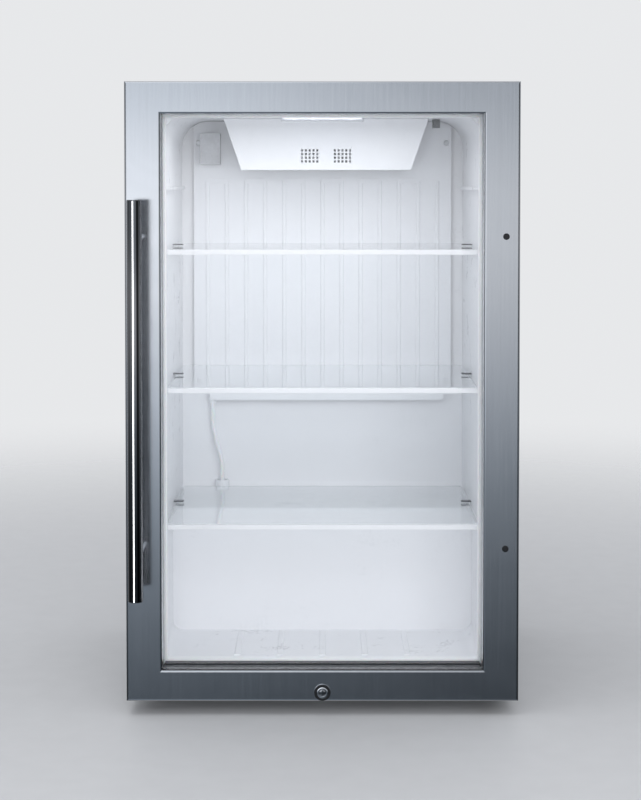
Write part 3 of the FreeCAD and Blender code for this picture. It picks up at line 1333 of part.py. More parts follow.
# ---------------------------------------------------------------- write every node
def main():
    """Build and save every node."""
    os.makedirs("parts", exist_ok=True)
    nodes = {
        "door_skin": door_skin(),
        "door_core": door_core(),
        "door_inner_frame": door_inner_frame(),
        "door_gasket": door_gasket(),
        "door_panes": door_panes(),
        "glass_spacer": glass_spacer(),
        "glazing_seal": glazing_seal(),
        "handle_bar": handle_bar(),
        "handle_posts": handle_posts(),
        "handle_screws": handle_screws(),
        "hole_plugs": hole_plugs(),
        "hinge_bushes": hinge_bushes(),
        "lock_barrel": lock_barrel(),
        "lock_plug": lock_plug(),
        "lock_cam": lock_cam(),
        "hinge_brackets": hinge_brackets(),
        "hinge_pins": hinge_pins(),
        "lock_strike": lock_strike(),
        "cabinet_screws": cabinet_screws(),
        "inner_liner": inner_liner(),
        "cabinet_shell": cabinet_shell(),
        "base_panel": base_panel(),
        "insulation": insulation(),
        "back_panel": back_panel(),
        "rear_grille": rear_grille(),
        "shelf_glass": shelf_glass(),
        "shelf_trims": shelf_trims(),
        "shelf_clips": shelf_clips(),
        "evaporator_plate": evaporator_plate(),
        "evaporator_screws": evaporator_screws(),
        "fan_shroud": fan_shroud(),
        "cool_fan_frame": cool_fan_frame(),
        "cool_fan": cool_fan(),
        "lamp_body": lamp_body(),
        "lamp_board": lamp_board(),
        "lamp_lens": lamp_lens(),
        "temperature_probe": temperature_probe(),
        "drain_tray": drain_tray(),
        "drain_hose": drain_hose(),
        "drain_funnel": drain_funnel(),
        "suction_line": suction_line(),
        "suction_sleeve": suction_sleeve(),
        "compressor": compressor(),
        "compressor_mounts": compressor_mounts(),
        "relay_box": relay_box(),
        "evaporation_pan": evaporation_pan(),
        "condenser_tube": condenser_tube(),
        "condenser_fins": condenser_fins(),
        "condenser_fan_frame": condenser_fan_frame(),
        "condenser_fan": condenser_fan(),
        "filter_drier": filter_drier(),
        "copper_lines": copper_lines(),
        "thermostat": thermostat(),
        "thermostat_knob": thermostat_knob(),
        "power_inlet": power_inlet(),
        "foot_nuts": foot_nuts(),
    }
    for name, (x, y) in zip(FOOT_NAMES, foot_places()):
        nodes[name] = foot_pad(x, y)
    for name, shape in nodes.items():
        save(name, shape)


main()
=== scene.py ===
"""Looks of a compact glass-door reach-in refrigerator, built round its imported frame.

Every length is in metres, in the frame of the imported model: +Z up, the door faces -Y, hinges at +X.
"""

import json
import logging
import math
from contextlib import contextmanager
from dataclasses import dataclass
from enum import Enum
from typing import Callable, Iterable, Iterator, Sequence

import bmesh
import bpy
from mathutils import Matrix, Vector


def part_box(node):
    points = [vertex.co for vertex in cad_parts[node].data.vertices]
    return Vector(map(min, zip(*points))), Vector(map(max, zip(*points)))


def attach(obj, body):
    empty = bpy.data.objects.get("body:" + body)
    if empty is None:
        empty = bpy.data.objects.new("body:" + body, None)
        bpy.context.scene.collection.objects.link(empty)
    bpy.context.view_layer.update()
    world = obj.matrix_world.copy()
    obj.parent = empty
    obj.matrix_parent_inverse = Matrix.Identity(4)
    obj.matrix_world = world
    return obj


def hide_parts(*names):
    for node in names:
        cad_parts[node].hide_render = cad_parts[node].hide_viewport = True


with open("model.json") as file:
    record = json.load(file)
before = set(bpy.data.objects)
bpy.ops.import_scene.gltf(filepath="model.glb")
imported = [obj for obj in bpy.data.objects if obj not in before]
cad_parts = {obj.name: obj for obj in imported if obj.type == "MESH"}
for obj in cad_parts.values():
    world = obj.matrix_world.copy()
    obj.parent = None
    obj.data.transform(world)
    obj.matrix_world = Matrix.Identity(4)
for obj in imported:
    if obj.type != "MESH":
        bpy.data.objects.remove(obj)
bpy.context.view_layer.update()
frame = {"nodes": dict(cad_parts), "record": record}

LOG = logging.getLogger("refrigerator")
MM = 0.001
WELD_REACH = 1e-6        # points closer than this are joined
SHARP_ANGLE = 40.0       # edges over this many degrees stay sharp
FACING = 0.5             # a face looks along an axis when its normal has this much of it
UP = Vector((0, 0, 1))
OUTWARD = Vector((0, -1, 0))

Colour = tuple[float, float, float]
Point2 = tuple[float, float]
Point3 = tuple[float, float, float]
Box = tuple[Vector, Vector]


# ------------------------------------------------------------------ node trees
class Board:
    """A node tree with short calls to add nodes and join them."""

    MIX_INPUTS = (0, 6, 7)   # share, first and second colour of a colour Mix node
    MIX_RESULT = 2           # its colour output

    def __init__(self, tree: bpy.types.NodeTree) -> None:
        """Clear a node tree and keep it.

        Args:
            tree: The tree to fill.
        """
        self.tree = tree
        tree.nodes.clear()

    def add(self, kind: str, settings: dict | None = None, **inputs: object) -> bpy.types.Node:
        """Add one node.

        Args:
            kind: The node's type name without "ShaderNode", or a full type name.
            settings: Attributes to set on the node.
            **inputs: Input sockets by name, with "_" for a space; a socket is linked, a value is set.

        Returns:
            The new node.
        """
        full = kind if kind.startswith("Node") else "ShaderNode" + kind
        node = self.tree.nodes.new(full)
        for key, value in (settings or {}).items():
            setattr(node, key, value)
        for key, value in inputs.items():
            self.put(node, key.replace("_", " "), value)
        return node

    def put(self, node: bpy.types.Node, socket: str | int, value: object) -> None:
        """Link or set one input.

        Args:
            node: The node that owns the input.
            socket: The input's name or index.
            value: A socket to link from, or a plain value.
        """
        target = node.inputs[socket]
        if isinstance(value, bpy.types.NodeSocket):
            self.tree.links.new(value, target)
        else:
            target.default_value = value

    def math(self, operation: str, first: object, second: object = 0.0) -> bpy.types.NodeSocket:
        """Add a Math node and return its value.

        Args:
            operation: Blender's name of the operation.
            first: First operand, a socket or a number.
            second: Second operand, a socket or a number.

        Returns:
            The value socket.
        """
        node = self.add("Math", {"operation": operation})
        self.put(node, 0, first)
        self.put(node, 1, second)
        return node.outputs[0]

    def remap(self, value: object, low: float, high: float, to_low: float = 0.0,
              to_high: float = 1.0, smooth: bool = False) -> bpy.types.NodeSocket:
        """Map a value from one range to another, clamped.

        Args:
            value: The socket to map.
            low: Start of the input range.
            high: End of the input range.
            to_low: Result at the start.
            to_high: Result at the end.
            smooth: Ease in and out.

        Returns:
            The result socket.
        """
        kind = "SMOOTHSTEP" if smooth else "LINEAR"
        node = self.add("MapRange", {"interpolation_type": kind})
        for key, number in (("From Min", low), ("From Max", high), ("To Min", to_low),
                            ("To Max", to_high)):
            self.put(node, key, number)
        self.put(node, "Value", value)
        return node.outputs["Result"]

    def blend(self, share: object, first: object, second: object,
              how: str = "MIX") -> bpy.types.NodeSocket:
        """Mix two colours.

        Args:
            share: How much of the second one.
            first: First colour.
            second: Second colour.
            how: Blend type.

        Returns:
            The colour socket.
        """
        node = self.add("Mix", {"data_type": "RGBA", "blend_type": how})
        for socket, value in zip(self.MIX_INPUTS, (share, rgba(first), rgba(second))):
            self.put(node, socket, value)
        return node.outputs[self.MIX_RESULT]

    def mix_shaders(self, share: object, first: bpy.types.Node, second: bpy.types.Node) -> bpy.types.Node:
        """Mix two shaders.

        Args:
            share: How much of the second one.
            first: Node of the first shader.
            second: Node of the second shader.

        Returns:
            The mixing node.
        """
        node = self.add("MixShader")
        for socket, value in enumerate((share, first.outputs[0], second.outputs[0])):
            self.put(node, socket, value)
        return node

    def vector(self, operation: str, first: object, second: object) -> bpy.types.NodeSocket:
        """Add a Vector Math node and return its vector.

        Args:
            operation: Blender's name of the operation.
            first: First operand.
            second: Second operand.

        Returns:
            The vector socket.
        """
        node = self.add("VectorMath", {"operation": operation})
        self.put(node, 0, first)
        self.put(node, 1, second)
        return node.outputs[0]

    def weighted(self, first: object, second: object, share: float) -> bpy.types.NodeSocket:
        """Add two values by weight.

        Args:
            first: First value.
            second: Second value.
            share: Weight of the second one; the first one has the rest.

        Returns:
            The value socket.
        """
        rest = self.math("MULTIPLY", first, 1.0 - share)
        return self.math("ADD", rest, self.math("MULTIPLY", second, share))

    def place(self) -> bpy.types.NodeSocket:
        """Return the surface point in its object's own coordinates."""
        return self.add("TexCoord").outputs["Object"]

    def ramp(self, value: object, stops: Sequence[tuple[float, Colour]]) -> bpy.types.NodeSocket:
        """Turn a value into a colour that runs through stops.

        Args:
            value: The socket to turn, in the stops' own unit.
            stops: Value and colour of each stop, in rising order.

        Returns:
            The colour socket.
        """
        low, high = stops[0][0], stops[-1][0]
        node = self.add("ValToRGB")
        marks = node.color_ramp.elements
        while len(marks) > 1:
            marks.remove(marks[-1])
        for index, (position, colour) in enumerate(stops):
            share = (position - low) / (high - low)
            mark = marks[0] if index == 0 else marks.new(share)
            mark.position = share
            mark.color = rgba(colour)
        self.put(node, "Fac", self.remap(value, low, high))
        return node.outputs["Color"]


def rgba(colour: object) -> object:
    """Give a three-number colour its alpha.

    Args:
        colour: A colour, or anything else, which passes through.

    Returns:
        The colour with an alpha of 1.
    """
    if isinstance(colour, tuple) and len(colour) == 3:
        return (*colour, 1.0)
    return colour


def new_group(name: str, inputs: Sequence[tuple[str, str, object]],
              outputs: Sequence[tuple[str, str]]) -> tuple[bpy.types.NodeTree, Board, bpy.types.Node,
                                                           bpy.types.Node]:
    """Start a shader node group with named sockets.

    Args:
        name: Name of the group.
        inputs: Name, socket type and default of each input.
        outputs: Name and socket type of each output.

    Returns:
        The group, its board, and its input and output nodes.
    """
    tree = bpy.data.node_groups.new(name, "ShaderNodeTree")
    for label, kind, default in inputs:
        socket = tree.interface.new_socket(label, in_out="INPUT", socket_type=kind)
        if default is not None:
            socket.default_value = default
    for label, kind in outputs:
        tree.interface.new_socket(label, in_out="OUTPUT", socket_type=kind)
    board = Board(tree)
    return tree, board, board.add("NodeGroupInput"), board.add("NodeGroupOutput")


def texture_group(name: str, scale: float) -> tuple[bpy.types.NodeTree, Board, bpy.types.Node,
                                                    bpy.types.Node, bpy.types.NodeSocket]:
    """Start the group of a fine texture.

    Args:
        name: Name of the group.
        scale: Usual fineness of the texture.

    Returns:
        The group, its board, its input and output nodes, and the stretched surface point.
    """
    tree, b, into, out = new_group(
        name, [("Stretch", "NodeSocketVector", (1.0, 1.0, 1.0)), ("Scale", "NodeSocketFloat", scale),
               ("Detail", "NodeSocketFloat", 3.0)],
        [("Fac", "NodeSocketFloat")])
    return tree, b, into, out, b.vector("MULTIPLY", b.place(), into.outputs["Stretch"])


class Texture(Enum):
    """Kinds of fine texture a finish can have."""

    GRAIN = "grain"
    SPANGLE = "spangle"


class Effects:
    """Node groups that several finishes share, each built once."""

    _built: dict[str, bpy.types.NodeTree] = {}

    @classmethod
    def get(cls, name: str, build: Callable[[], bpy.types.NodeTree]) -> bpy.types.NodeTree:
        """Return a group by name, building it at its first use.

        Args:
            name: Name of the group.
            build: Builds the group.

        Returns:
            The group.
        """
        if name not in cls._built:
            cls._built[name] = build()
        return cls._built[name]

    @staticmethod
    def grain() -> bpy.types.NodeTree:
        """Streaks or specks from two layers of stretched noise.

        Returns:
            The group; its output Fac runs from 0 to 1.
        """
        tree, b, into, out, pulled = texture_group("grain", 1000.0)
        fine = b.add("TexNoise", Vector=pulled, Scale=into.outputs["Scale"],
                     Detail=into.outputs["Detail"], Roughness=0.62)
        broad_scale = b.math("MULTIPLY", into.outputs["Scale"], 0.13)
        broad = b.add("TexNoise", Vector=pulled, Scale=broad_scale, Detail=2.0)
        mixed = b.weighted(fine.outputs["Fac"], broad.outputs["Fac"], 0.35)
        b.put(out, "Fac", b.remap(mixed, 0.3, 0.7))
        return tree

    @staticmethod
    def spangle() -> bpy.types.NodeTree:
        """Crystal patches of hot-dipped zinc, with fine noise over them.

        Returns:
            The group; its output Fac runs from 0 to 1.
        """
        tree, b, into, out, pulled = texture_group("spangle", 110.0)
        cells = b.add("TexVoronoi", Vector=pulled, Scale=into.outputs["Scale"])
        tone = b.add("SeparateColor", Color=cells.outputs["Color"]).outputs[0]
        noise = b.add("TexNoise", Vector=b.place(), Scale=900.0, Detail=into.outputs["Detail"])
        b.put(out, "Fac", b.remap(b.weighted(tone, noise.outputs["Fac"], 0.4), 0.1, 0.9))
        return tree

    @staticmethod
    def smudge() -> bpy.types.NodeTree:
        """Soft uneven patches, as handling and wiping leave.

        Returns:
            The group; its output Mask runs from 0 to 1.
        """
        tree, b, into, out = new_group(
            "smudge", [("Scale", "NodeSocketFloat", 9.0), ("Contrast", "NodeSocketFloat", 0.5)],
            [("Mask", "NodeSocketFloat")])
        place = b.place()
        warp = b.add("TexNoise", Vector=place, Scale=4.0, Detail=2.0)
        moved = b.vector("ADD", place, warp.outputs["Color"])
        patch = b.add("TexNoise", Vector=moved, Scale=into.outputs["Scale"], Detail=5.0, Roughness=0.55)
        centred = b.math("SUBTRACT", patch.outputs["Fac"], 0.5)
        scaled = b.math("MULTIPLY", centred, b.math("ADD", into.outputs["Contrast"], 1.0))
        b.put(out, "Mask", b.remap(b.math("ADD", scaled, 0.5), 0.3, 0.75, smooth=True))
        return tree

    @staticmethod
    def edge_wear() -> bpy.types.NodeTree:
        """Mask of convex edges, broken up by noise.

        Returns:
            The group; its output Mask runs from 0 to 1.
        """
        tree, b, into, out = new_group(
            "edge_wear", [("Start", "NodeSocketFloat", 0.53), ("Breakup", "NodeSocketFloat", 180.0)],
            [("Mask", "NodeSocketFloat")])
        sharp = b.add("NewGeometry").outputs["Pointiness"]
        noise = b.add("TexNoise", Vector=b.place(), Scale=into.outputs["Breakup"], Detail=3.0)
        wobble = b.math("MULTIPLY", b.math("SUBTRACT", noise.outputs["Fac"], 0.5), 0.08)
        shifted = b.math("SUBTRACT", b.math("ADD", sharp, wobble), into.outputs["Start"])
        b.put(out, "Mask", b.remap(shifted, 0.0, 0.08, smooth=True))
        return tree


# ------------------------------------------------------------------ finishes
@dataclass(frozen=True)
class Finish:
    """A surface: its colour, gloss and fine texture.

    Attributes:
        name: Name of the material.
        colour: Linear base colour.
        roughness: Middle roughness.
        spread: How far the fine texture moves the roughness.
        tint: How far the fine texture moves the colour, as a share.
        metallic: 0 for plastics, 1 for metals.
        stretch: Direction of the fine texture; a small number draws it out along that axis.
        scale: Fineness of the texture.
        bump: Height of the texture in metres.
        bump_strength: Strength of the bump.
        smudge: How far patches move the roughness.
        wear: Brightening of worn edges.
        coat: Clear coat weight.
        specular: Specular level.
        anisotropy: Stretch of highlights round the Z axis.
        subsurface: Weight of light scattered under the surface.
        edge_tint: Grey of a metal's reflection near grazing angles.
        texture: Kind of fine texture.
    """

    WORN_SHARE = 0.6             # most that a worn edge's colour takes over
    SCATTER_DEPTH = 3.0 * MM     # how far light travels under the surface

    name: str
    colour: Colour
    roughness: float = 0.4
    spread: float = 0.08
    tint: float = 0.04
    metallic: float = 0.0
    stretch: Point3 = (1.0, 1.0, 1.0)
    scale: float = 600.0
    bump: float = 0.00002
    bump_strength: float = 0.3
    smudge: float = 0.06
    wear: float = 0.0
    coat: float = 0.0
    specular: float = 0.5
    anisotropy: float = 0.0
    subsurface: float = 0.0
    edge_tint: float = 1.0
    texture: Texture = Texture.GRAIN

    def build(self) -> bpy.types.Material:
        """Make the material.

        Returns:
            The new material.
        """
        material = bpy.data.materials.new(self.name)
        material.use_nodes = True
        board = Board(material.node_tree)
        shader = self.shader(board)
        board.add("OutputMaterial", Surface=shader)
        return material

    def shader(self, b: Board) -> bpy.types.NodeSocket:
        """Add the surface shader and return its output.

        Args:
            b: Board of the material's tree.

        Returns:
            The shader socket.
        """
        makers = {Texture.GRAIN: Effects.grain, Texture.SPANGLE: Effects.spangle}
        tree = Effects.get(self.texture.value, makers[self.texture])
        grain = b.add("Group", {"node_tree": tree}, Stretch=self.stretch, Scale=self.scale)
        smudge = b.add("Group", {"node_tree": Effects.get("smudge", Effects.smudge)})
        fac = grain.outputs["Fac"]
        mask = smudge.outputs["Mask"]
        rough = b.remap(fac, 0.0, 1.0, self.roughness - self.spread, self.roughness + self.spread)
        rough = b.math("ADD", rough, b.remap(mask, 0.0, 1.0, -self.smudge / 2, self.smudge / 2))
        low = tuple(c * (1.0 - self.tint) for c in self.colour)
        high = tuple(min(1.0, c * (1.0 + self.tint)) for c in self.colour)
        colour = b.blend(fac, low, high)
        if self.wear > 0:
            edge = b.add("Group", {"node_tree": Effects.get("edge_wear", Effects.edge_wear)})
            worn = tuple(min(1.0, c + self.wear) for c in self.colour)
            colour = b.blend(b.math("MULTIPLY", edge.outputs["Mask"], self.WORN_SHARE), colour, worn)
        bump = b.add("Bump", Strength=self.bump_strength, Distance=self.bump, Height=fac)
        bsdf = b.add("BsdfPrincipled", Base_Color=colour, Roughness=rough, Metallic=self.metallic,
                     Normal=bump.outputs[0])
        bsdf.inputs["Coat Weight"].default_value = self.coat
        bsdf.inputs["Specular IOR Level"].default_value = self.specular
        bsdf.inputs["Specular Tint"].default_value = (self.edge_tint,) * 3 + (1.0,)
        if self.subsurface > 0:
            bsdf.inputs["Subsurface Weight"].default_value = self.subsurface
            bsdf.inputs["Subsurface Scale"].default_value = self.SCATTER_DEPTH
        if self.anisotropy:
            bsdf.inputs["Anisotropic"].default_value = self.anisotropy
            tangent = b.add("Tangent", {"direction_type": "RADIAL", "axis": "Z"})
            b.put(bsdf, "Tangent", tangent.outputs[0])
        return bsdf.outputs[0]


@dataclass(frozen=True)
class GlassFinish(Finish):
    """Clear glass that lets lamp light through to what is behind it.

    Attributes:
        ior: Index of refraction.
        haze: Roughness of the glass.
    """

    ior: float = 1.45
    haze: float = 0.0

    def shader(self, b: Board) -> bpy.types.NodeSocket:
        """Add the glass and its bypass for shadow and diffuse rays.

        Args:
            b: Board of the material's tree.

        Returns:
            The shader socket.
        """
        smudge = b.add("Group", {"node_tree": Effects.get("smudge", Effects.smudge)}, Scale=14.0,
                       Contrast=1.2)
        rough = b.remap(smudge.outputs["Mask"], 0.0, 1.0, self.haze, self.haze + 0.03)
        bsdf = b.add("BsdfPrincipled", Base_Color=rgba(self.colour), Roughness=rough, Metallic=0.0)
        bsdf.inputs["Transmission Weight"].default_value = 1.0
        bsdf.inputs["IOR"].default_value = self.ior
        bsdf.inputs["Specular IOR Level"].default_value = self.specular
        clear = b.add("BsdfTransparent", Color=rgba(self.colour))
        path = b.add("LightPath")
        indirect = b.math("MAXIMUM", path.outputs["Is Shadow Ray"], path.outputs["Is Diffuse Ray"])
        return b.mix_shaders(indirect, bsdf, clear).outputs[0]


@dataclass(frozen=True)
class GlowFinish(Finish):
    """A lit surface.

    Attributes:
        power: Emission strength.
        light: Colour of the light.
    """

    power: float = 4.0
    light: Colour = (0.93, 0.96, 1.0)

    def shader(self, b: Board) -> bpy.types.NodeSocket:
        """Add a plastic that glows a little unevenly.

        Args:
            b: Board of the material's tree.

        Returns:
            The shader socket.
        """
        noise = b.add("TexNoise", Vector=b.place(), Scale=60.0, Detail=2.0)
        glow = b.blend(b.remap(noise.outputs["Fac"], 0.3, 0.7), tuple(c * 0.9 for c in self.light),
                       self.light)
        bsdf = b.add("BsdfPrincipled", Base_Color=rgba(self.colour), Emission_Color=glow)
        bsdf.inputs["Roughness"].default_value = self.roughness
        bsdf.inputs["Emission Strength"].default_value = self.power
        return bsdf.outputs[0]


def finishes() -> dict[str, Finish]:
    """All finishes of the refrigerator, by the record's slot name.

    Returns:
        Slot name to finish.
    """
    upright = (1.0, 1.0, 0.012)
    return {
        "brushed_steel": Finish("brushed_steel", (0.60, 0.62, 0.65), 0.155, 0.02, 0.045, 1.0, upright,
                                2600.0, 0.000004, 0.10, smudge=0.02, anisotropy=0.5),
        "liner_white": Finish("liner_white", (0.87, 0.875, 0.895), 0.32, 0.05, 0.01, scale=260.0,
                              bump=0.00003, bump_strength=0.12, specular=0.4),
        "white_plastic": Finish("white_plastic", (0.87, 0.88, 0.90), 0.36, 0.05, 0.015, scale=420.0,
                                bump=0.00002, bump_strength=0.15),
        "foam_core": Finish("foam_core", (0.78, 0.66, 0.38), 0.9, 0.05, 0.16, scale=300.0,
                            bump=0.0004, bump_strength=0.6),
        "black_plastic": Finish("black_plastic", (0.018, 0.019, 0.021), 0.34, 0.08, 0.2, scale=900.0,
                                bump=0.00002, bump_strength=0.3, wear=0.02),
        "dark_plastic": Finish("dark_plastic", (0.09, 0.095, 0.10), 0.45, 0.08, 0.12, scale=900.0,
                               bump=0.00002, bump_strength=0.3, wear=0.03),
        "gasket_white": Finish("gasket_white", (0.97, 0.975, 0.98), 0.5, 0.06, 0.02, scale=500.0,
                               subsurface=0.1),
        "seal_black": Finish("seal_black", (0.012, 0.012, 0.013), 0.16, 0.05, 0.2, scale=700.0),
        "rubber_black": Finish("rubber_black", (0.022, 0.022, 0.023), 0.62, 0.1, 0.25, scale=700.0,
                               bump=0.00005, bump_strength=0.5),
        "clear_glass": GlassFinish("clear_glass", (0.995, 0.997, 1.0)),
        "shelf_glass": GlassFinish("shelf_glass", (0.97, 0.985, 0.99), ior=1.5),
        "chrome": Finish("chrome", (0.86, 0.87, 0.89), 0.055, 0.015, 0.01, 1.0, scale=200.0,
                         bump=0.000002, bump_strength=0.1, smudge=0.05),
        "aluminium": Finish("aluminium", (0.70, 0.71, 0.72), 0.36, 0.08, 0.05, 1.0,
                            (1.0, 0.03, 1.0), 900.0),
        "zinc_steel": Finish("zinc_steel", (0.62, 0.635, 0.645), 0.40, 0.09, 0.09, 1.0, scale=110.0,
                             bump=0.00001, bump_strength=0.12, smudge=0.04, texture=Texture.SPANGLE),
        "black_steel": Finish("black_steel", (0.02, 0.02, 0.021), 0.38, 0.08, 0.2, scale=350.0,
                              bump=0.00005, bump_strength=0.35, wear=0.05),
        "evaporator": Finish("evaporator", (0.85, 0.86, 0.885), 0.38, 0.08, 0.02, scale=350.0,
                             bump=0.00003, bump_strength=0.25),
        "copper": Finish("copper", (0.72, 0.36, 0.22), 0.3, 0.1, 0.16, 1.0, scale=160.0,
                         smudge=0.16),
        "hose_clear": Finish("hose_clear", (0.86, 0.87, 0.88), 0.35, 0.05, 0.02, scale=500.0,
                             subsurface=0.3),
        "sleeve_grey": Finish("sleeve_grey", (0.50, 0.51, 0.53), 0.85, 0.08, 0.18, scale=420.0,
                              bump=0.0002, bump_strength=0.5),
        "lens": GlassFinish("lens", (0.96, 0.97, 1.0), haze=0.35),
        "led_board": GlowFinish("led_board", (0.9, 0.9, 0.9), power=1.1),
        "nylon": Finish("nylon", (0.72, 0.70, 0.64), 0.45, 0.06, 0.03, scale=500.0, subsurface=0.15),
    }


GLOSS_BLACK = Finish("gloss_black", (0.018, 0.019, 0.021), 0.14, 0.03, 0.2, scale=900.0,
                     bump_strength=0.1, smudge=0.04, specular=0.18)
SPACER_DARK = Finish("spacer_dark", (0.07, 0.075, 0.08), 0.4, 0.06, 0.1, scale=900.0,
                     specular=0.2)
CLIP_BLACK = Finish("clip_black", (0.035, 0.037, 0.042), 0.3, 0.06, 0.2, scale=700.0)
DARK_CHROME = Finish("dark_chrome", (0.31, 0.315, 0.325), 0.05, 0.015, 0.02, 1.0, scale=200.0,
                     bump=0.000002, bump_strength=0.1, smudge=0.03, edge_tint=0.35)


# ------------------------------------------------------------------ mesh work
class Maker:
    """Makes pieces, gives them their finish and puts them on their body."""

    def __init__(self, materials: dict[str, bpy.types.Material]) -> None:
        """Keep the materials by slot.

        Args:
            materials: Slot name to material.
        """
        self.materials = materials
        self.slot_of = {s["node"]: s["material_slot"] for s in frame["record"]["subparts"]}
        self.body_of = {n: b for b, ns in frame["record"]["behaviour"]["bodies"].items() for n in ns}

    def dress_frame(self) -> None:
        """Give every node of the frame the material of its slot."""
        for name, node in frame["nodes"].items():
            self.paint(node, self.slot_of[name])

    def paint(self, obj: bpy.types.Object, slot: str) -> None:
        """Put one material on an object.

        Args:
            obj: The object.
            slot: The record's slot name, or a finish's own.
        """
        obj.data.materials.clear()
        obj.data.materials.append(self.materials[slot])

    def coat(self, obj: bpy.types.Object, finish: Finish) -> None:
        """Give an object a finish that isn't its slot's usual one.

        Args:
            obj: The object.
            finish: The finish, whose material is made at its first use.
        """
        if finish.name not in self.materials:
            self.materials[finish.name] = finish.build()
        self.paint(obj, finish.name)

    def place(self, obj: bpy.types.Object, body: str, slot: str,
              replaces: Sequence[str] = ()) -> bpy.types.Object:
        """Finish a new piece: give it the material of its slot, put it on its body and hide the nodes it
        stands for.

        Args:
            obj: The new piece.
            body: Body it rides on.
            slot: The record's slot name.
            replaces: Nodes it stands for.

        Returns:
            The piece.
        """
        self.paint(obj, slot)
        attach(obj, body)
        if replaces:
            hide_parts(*replaces)
        LOG.info("piece %s on %s, %d faces", obj.name, body, len(obj.data.polygons))
        return obj

    def soften(self, node: str, width: float, segments: int = 3, angle: float = 35.0,
               move: Callable[[list[Vector]], list[Vector]] | None = None) -> bpy.types.Object:
        """Stand a copy with rounded edges in for a frame node.

        Args:
            node: The frame node.
            width: Width of the rounding.
            segments: Steps across the rounding.
            angle: Smallest edge angle that is rounded, in degrees.
            move: Reshapes each solid of the node before it is rounded.

        Returns:
            The new piece.
        """
        mesh = frame["nodes"][node].data.copy()
        obj = link(node + "_finished", mesh)
        weld(mesh)
        if move:
            reshape_islands(mesh, move)
        bevel = obj.modifiers.new("round", "BEVEL")
        bevel.width = width
        bevel.segments = segments
        bevel.limit_method = "ANGLE"
        bevel.angle_limit = math.radians(angle)
        bevel.use_clamp_overlap = True
        even_out(obj)
        return self.place(obj, self.body_of[node], self.slot_of[node], [node])


def link(name: str, data: bpy.types.ID) -> bpy.types.Object:
    """Make an object and put it in the scene.

    Args:
        name: Name of the object.
        data: Its mesh, light or camera.

    Returns:
        The new object.
    """
    obj = bpy.data.objects.new(name, data)
    bpy.context.scene.collection.objects.link(obj)
    return obj


@contextmanager
def edited(mesh: bpy.types.Mesh) -> Iterator[bmesh.types.BMesh]:
    """Open a mesh for editing and write it back afterwards.

    Args:
        mesh: The mesh.

    Yields:
        Its editable form.
    """
    bm = bmesh.new()
    bm.from_mesh(mesh)
    yield bm
    bm.to_mesh(mesh)
    bm.free()


def reshape_islands(mesh: bpy.types.Mesh, move: Callable[[list[Vector]], list[Vector]]) -> None:
    """Move the points of each separate solid of a mesh.

    Args:
        mesh: The mesh.
        move: Takes the points of one solid and returns their new places.
    """
    with edited(mesh) as bm:
        left = set(bm.verts)
        while left:
            island, waiting = [], [left.pop()]
            while waiting:
                vert = waiting.pop()
                island.append(vert)
                for edge in vert.link_edges:
                    other = edge.other_vert(vert)
                    if other in left:
                        left.remove(other)
                        waiting.append(other)
            for vert, place in zip(island, move([v.co.copy() for v in island])):
                vert.co = place


def weld(mesh: bpy.types.Mesh) -> None:
    """Join the split corners of an imported mesh and merge its flat triangles.

    Args:
        mesh: The mesh.
    """
    if mesh.has_custom_normals:
        mesh.attributes.remove(mesh.attributes["custom_normal"])
    flat = math.radians(0.6)
    with edited(mesh) as bm:
        bmesh.ops.remove_doubles(bm, verts=bm.verts, dist=WELD_REACH)
        bmesh.ops.dissolve_limit(bm, angle_limit=flat, verts=bm.verts, edges=bm.edges)


def bake_modifiers(obj: bpy.types.Object) -> None:
    """Turn an object's modifiers into its mesh.

    Args:
        obj: The object.
    """
    graph = bpy.context.evaluated_depsgraph_get()
    mesh = bpy.data.meshes.new_from_object(obj.evaluated_get(graph))
    obj.modifiers.clear()
    obj.data = mesh


def even_out(obj: bpy.types.Object) -> None:
    """Bake an object's modifiers and shade it so that its large faces stay flat.

    Args:
        obj: The object.
    """
    bake_modifiers(obj)
    smooth(obj)
    weigh = obj.modifiers.new("flat", "WEIGHTED_NORMAL")
    weigh.mode = "FACE_AREA"
    weigh.weight = 100
    weigh.keep_sharp = True
    bake_modifiers(obj)


def smooth(obj: bpy.types.Object, angle: float = SHARP_ANGLE) -> None:
    """Shade an object smooth, with hard edges.

    Args:
        obj: The object.
        angle: Edges over this angle, in degrees, stay hard.
    """
    limit = math.radians(angle)
    with edited(obj.data) as bm:
        for face in bm.faces:
            face.smooth = True
        for edge in bm.edges:
            edge.smooth = not (len(edge.link_faces) == 2 and edge.calc_face_angle(0.0) > limit)


def mesh_object(name: str, verts: Iterable[Sequence[float]],
                faces: Iterable[Sequence[int]]) -> bpy.types.Object:
    """Make an object from points and faces.

    Args:
        name: Name of the object.
        verts: Points in metres.
        faces: Point numbers of each face.

    Returns:
        The linked object, with normals turned outward.
    """
    mesh = bpy.data.meshes.new(name)
    mesh.from_pydata([tuple(v) for v in verts], [], [tuple(f) for f in faces])
    with edited(mesh) as bm:
        bmesh.ops.recalc_face_normals(bm, faces=bm.faces)
    obj = link(name, mesh)
    smooth(obj)
    return obj


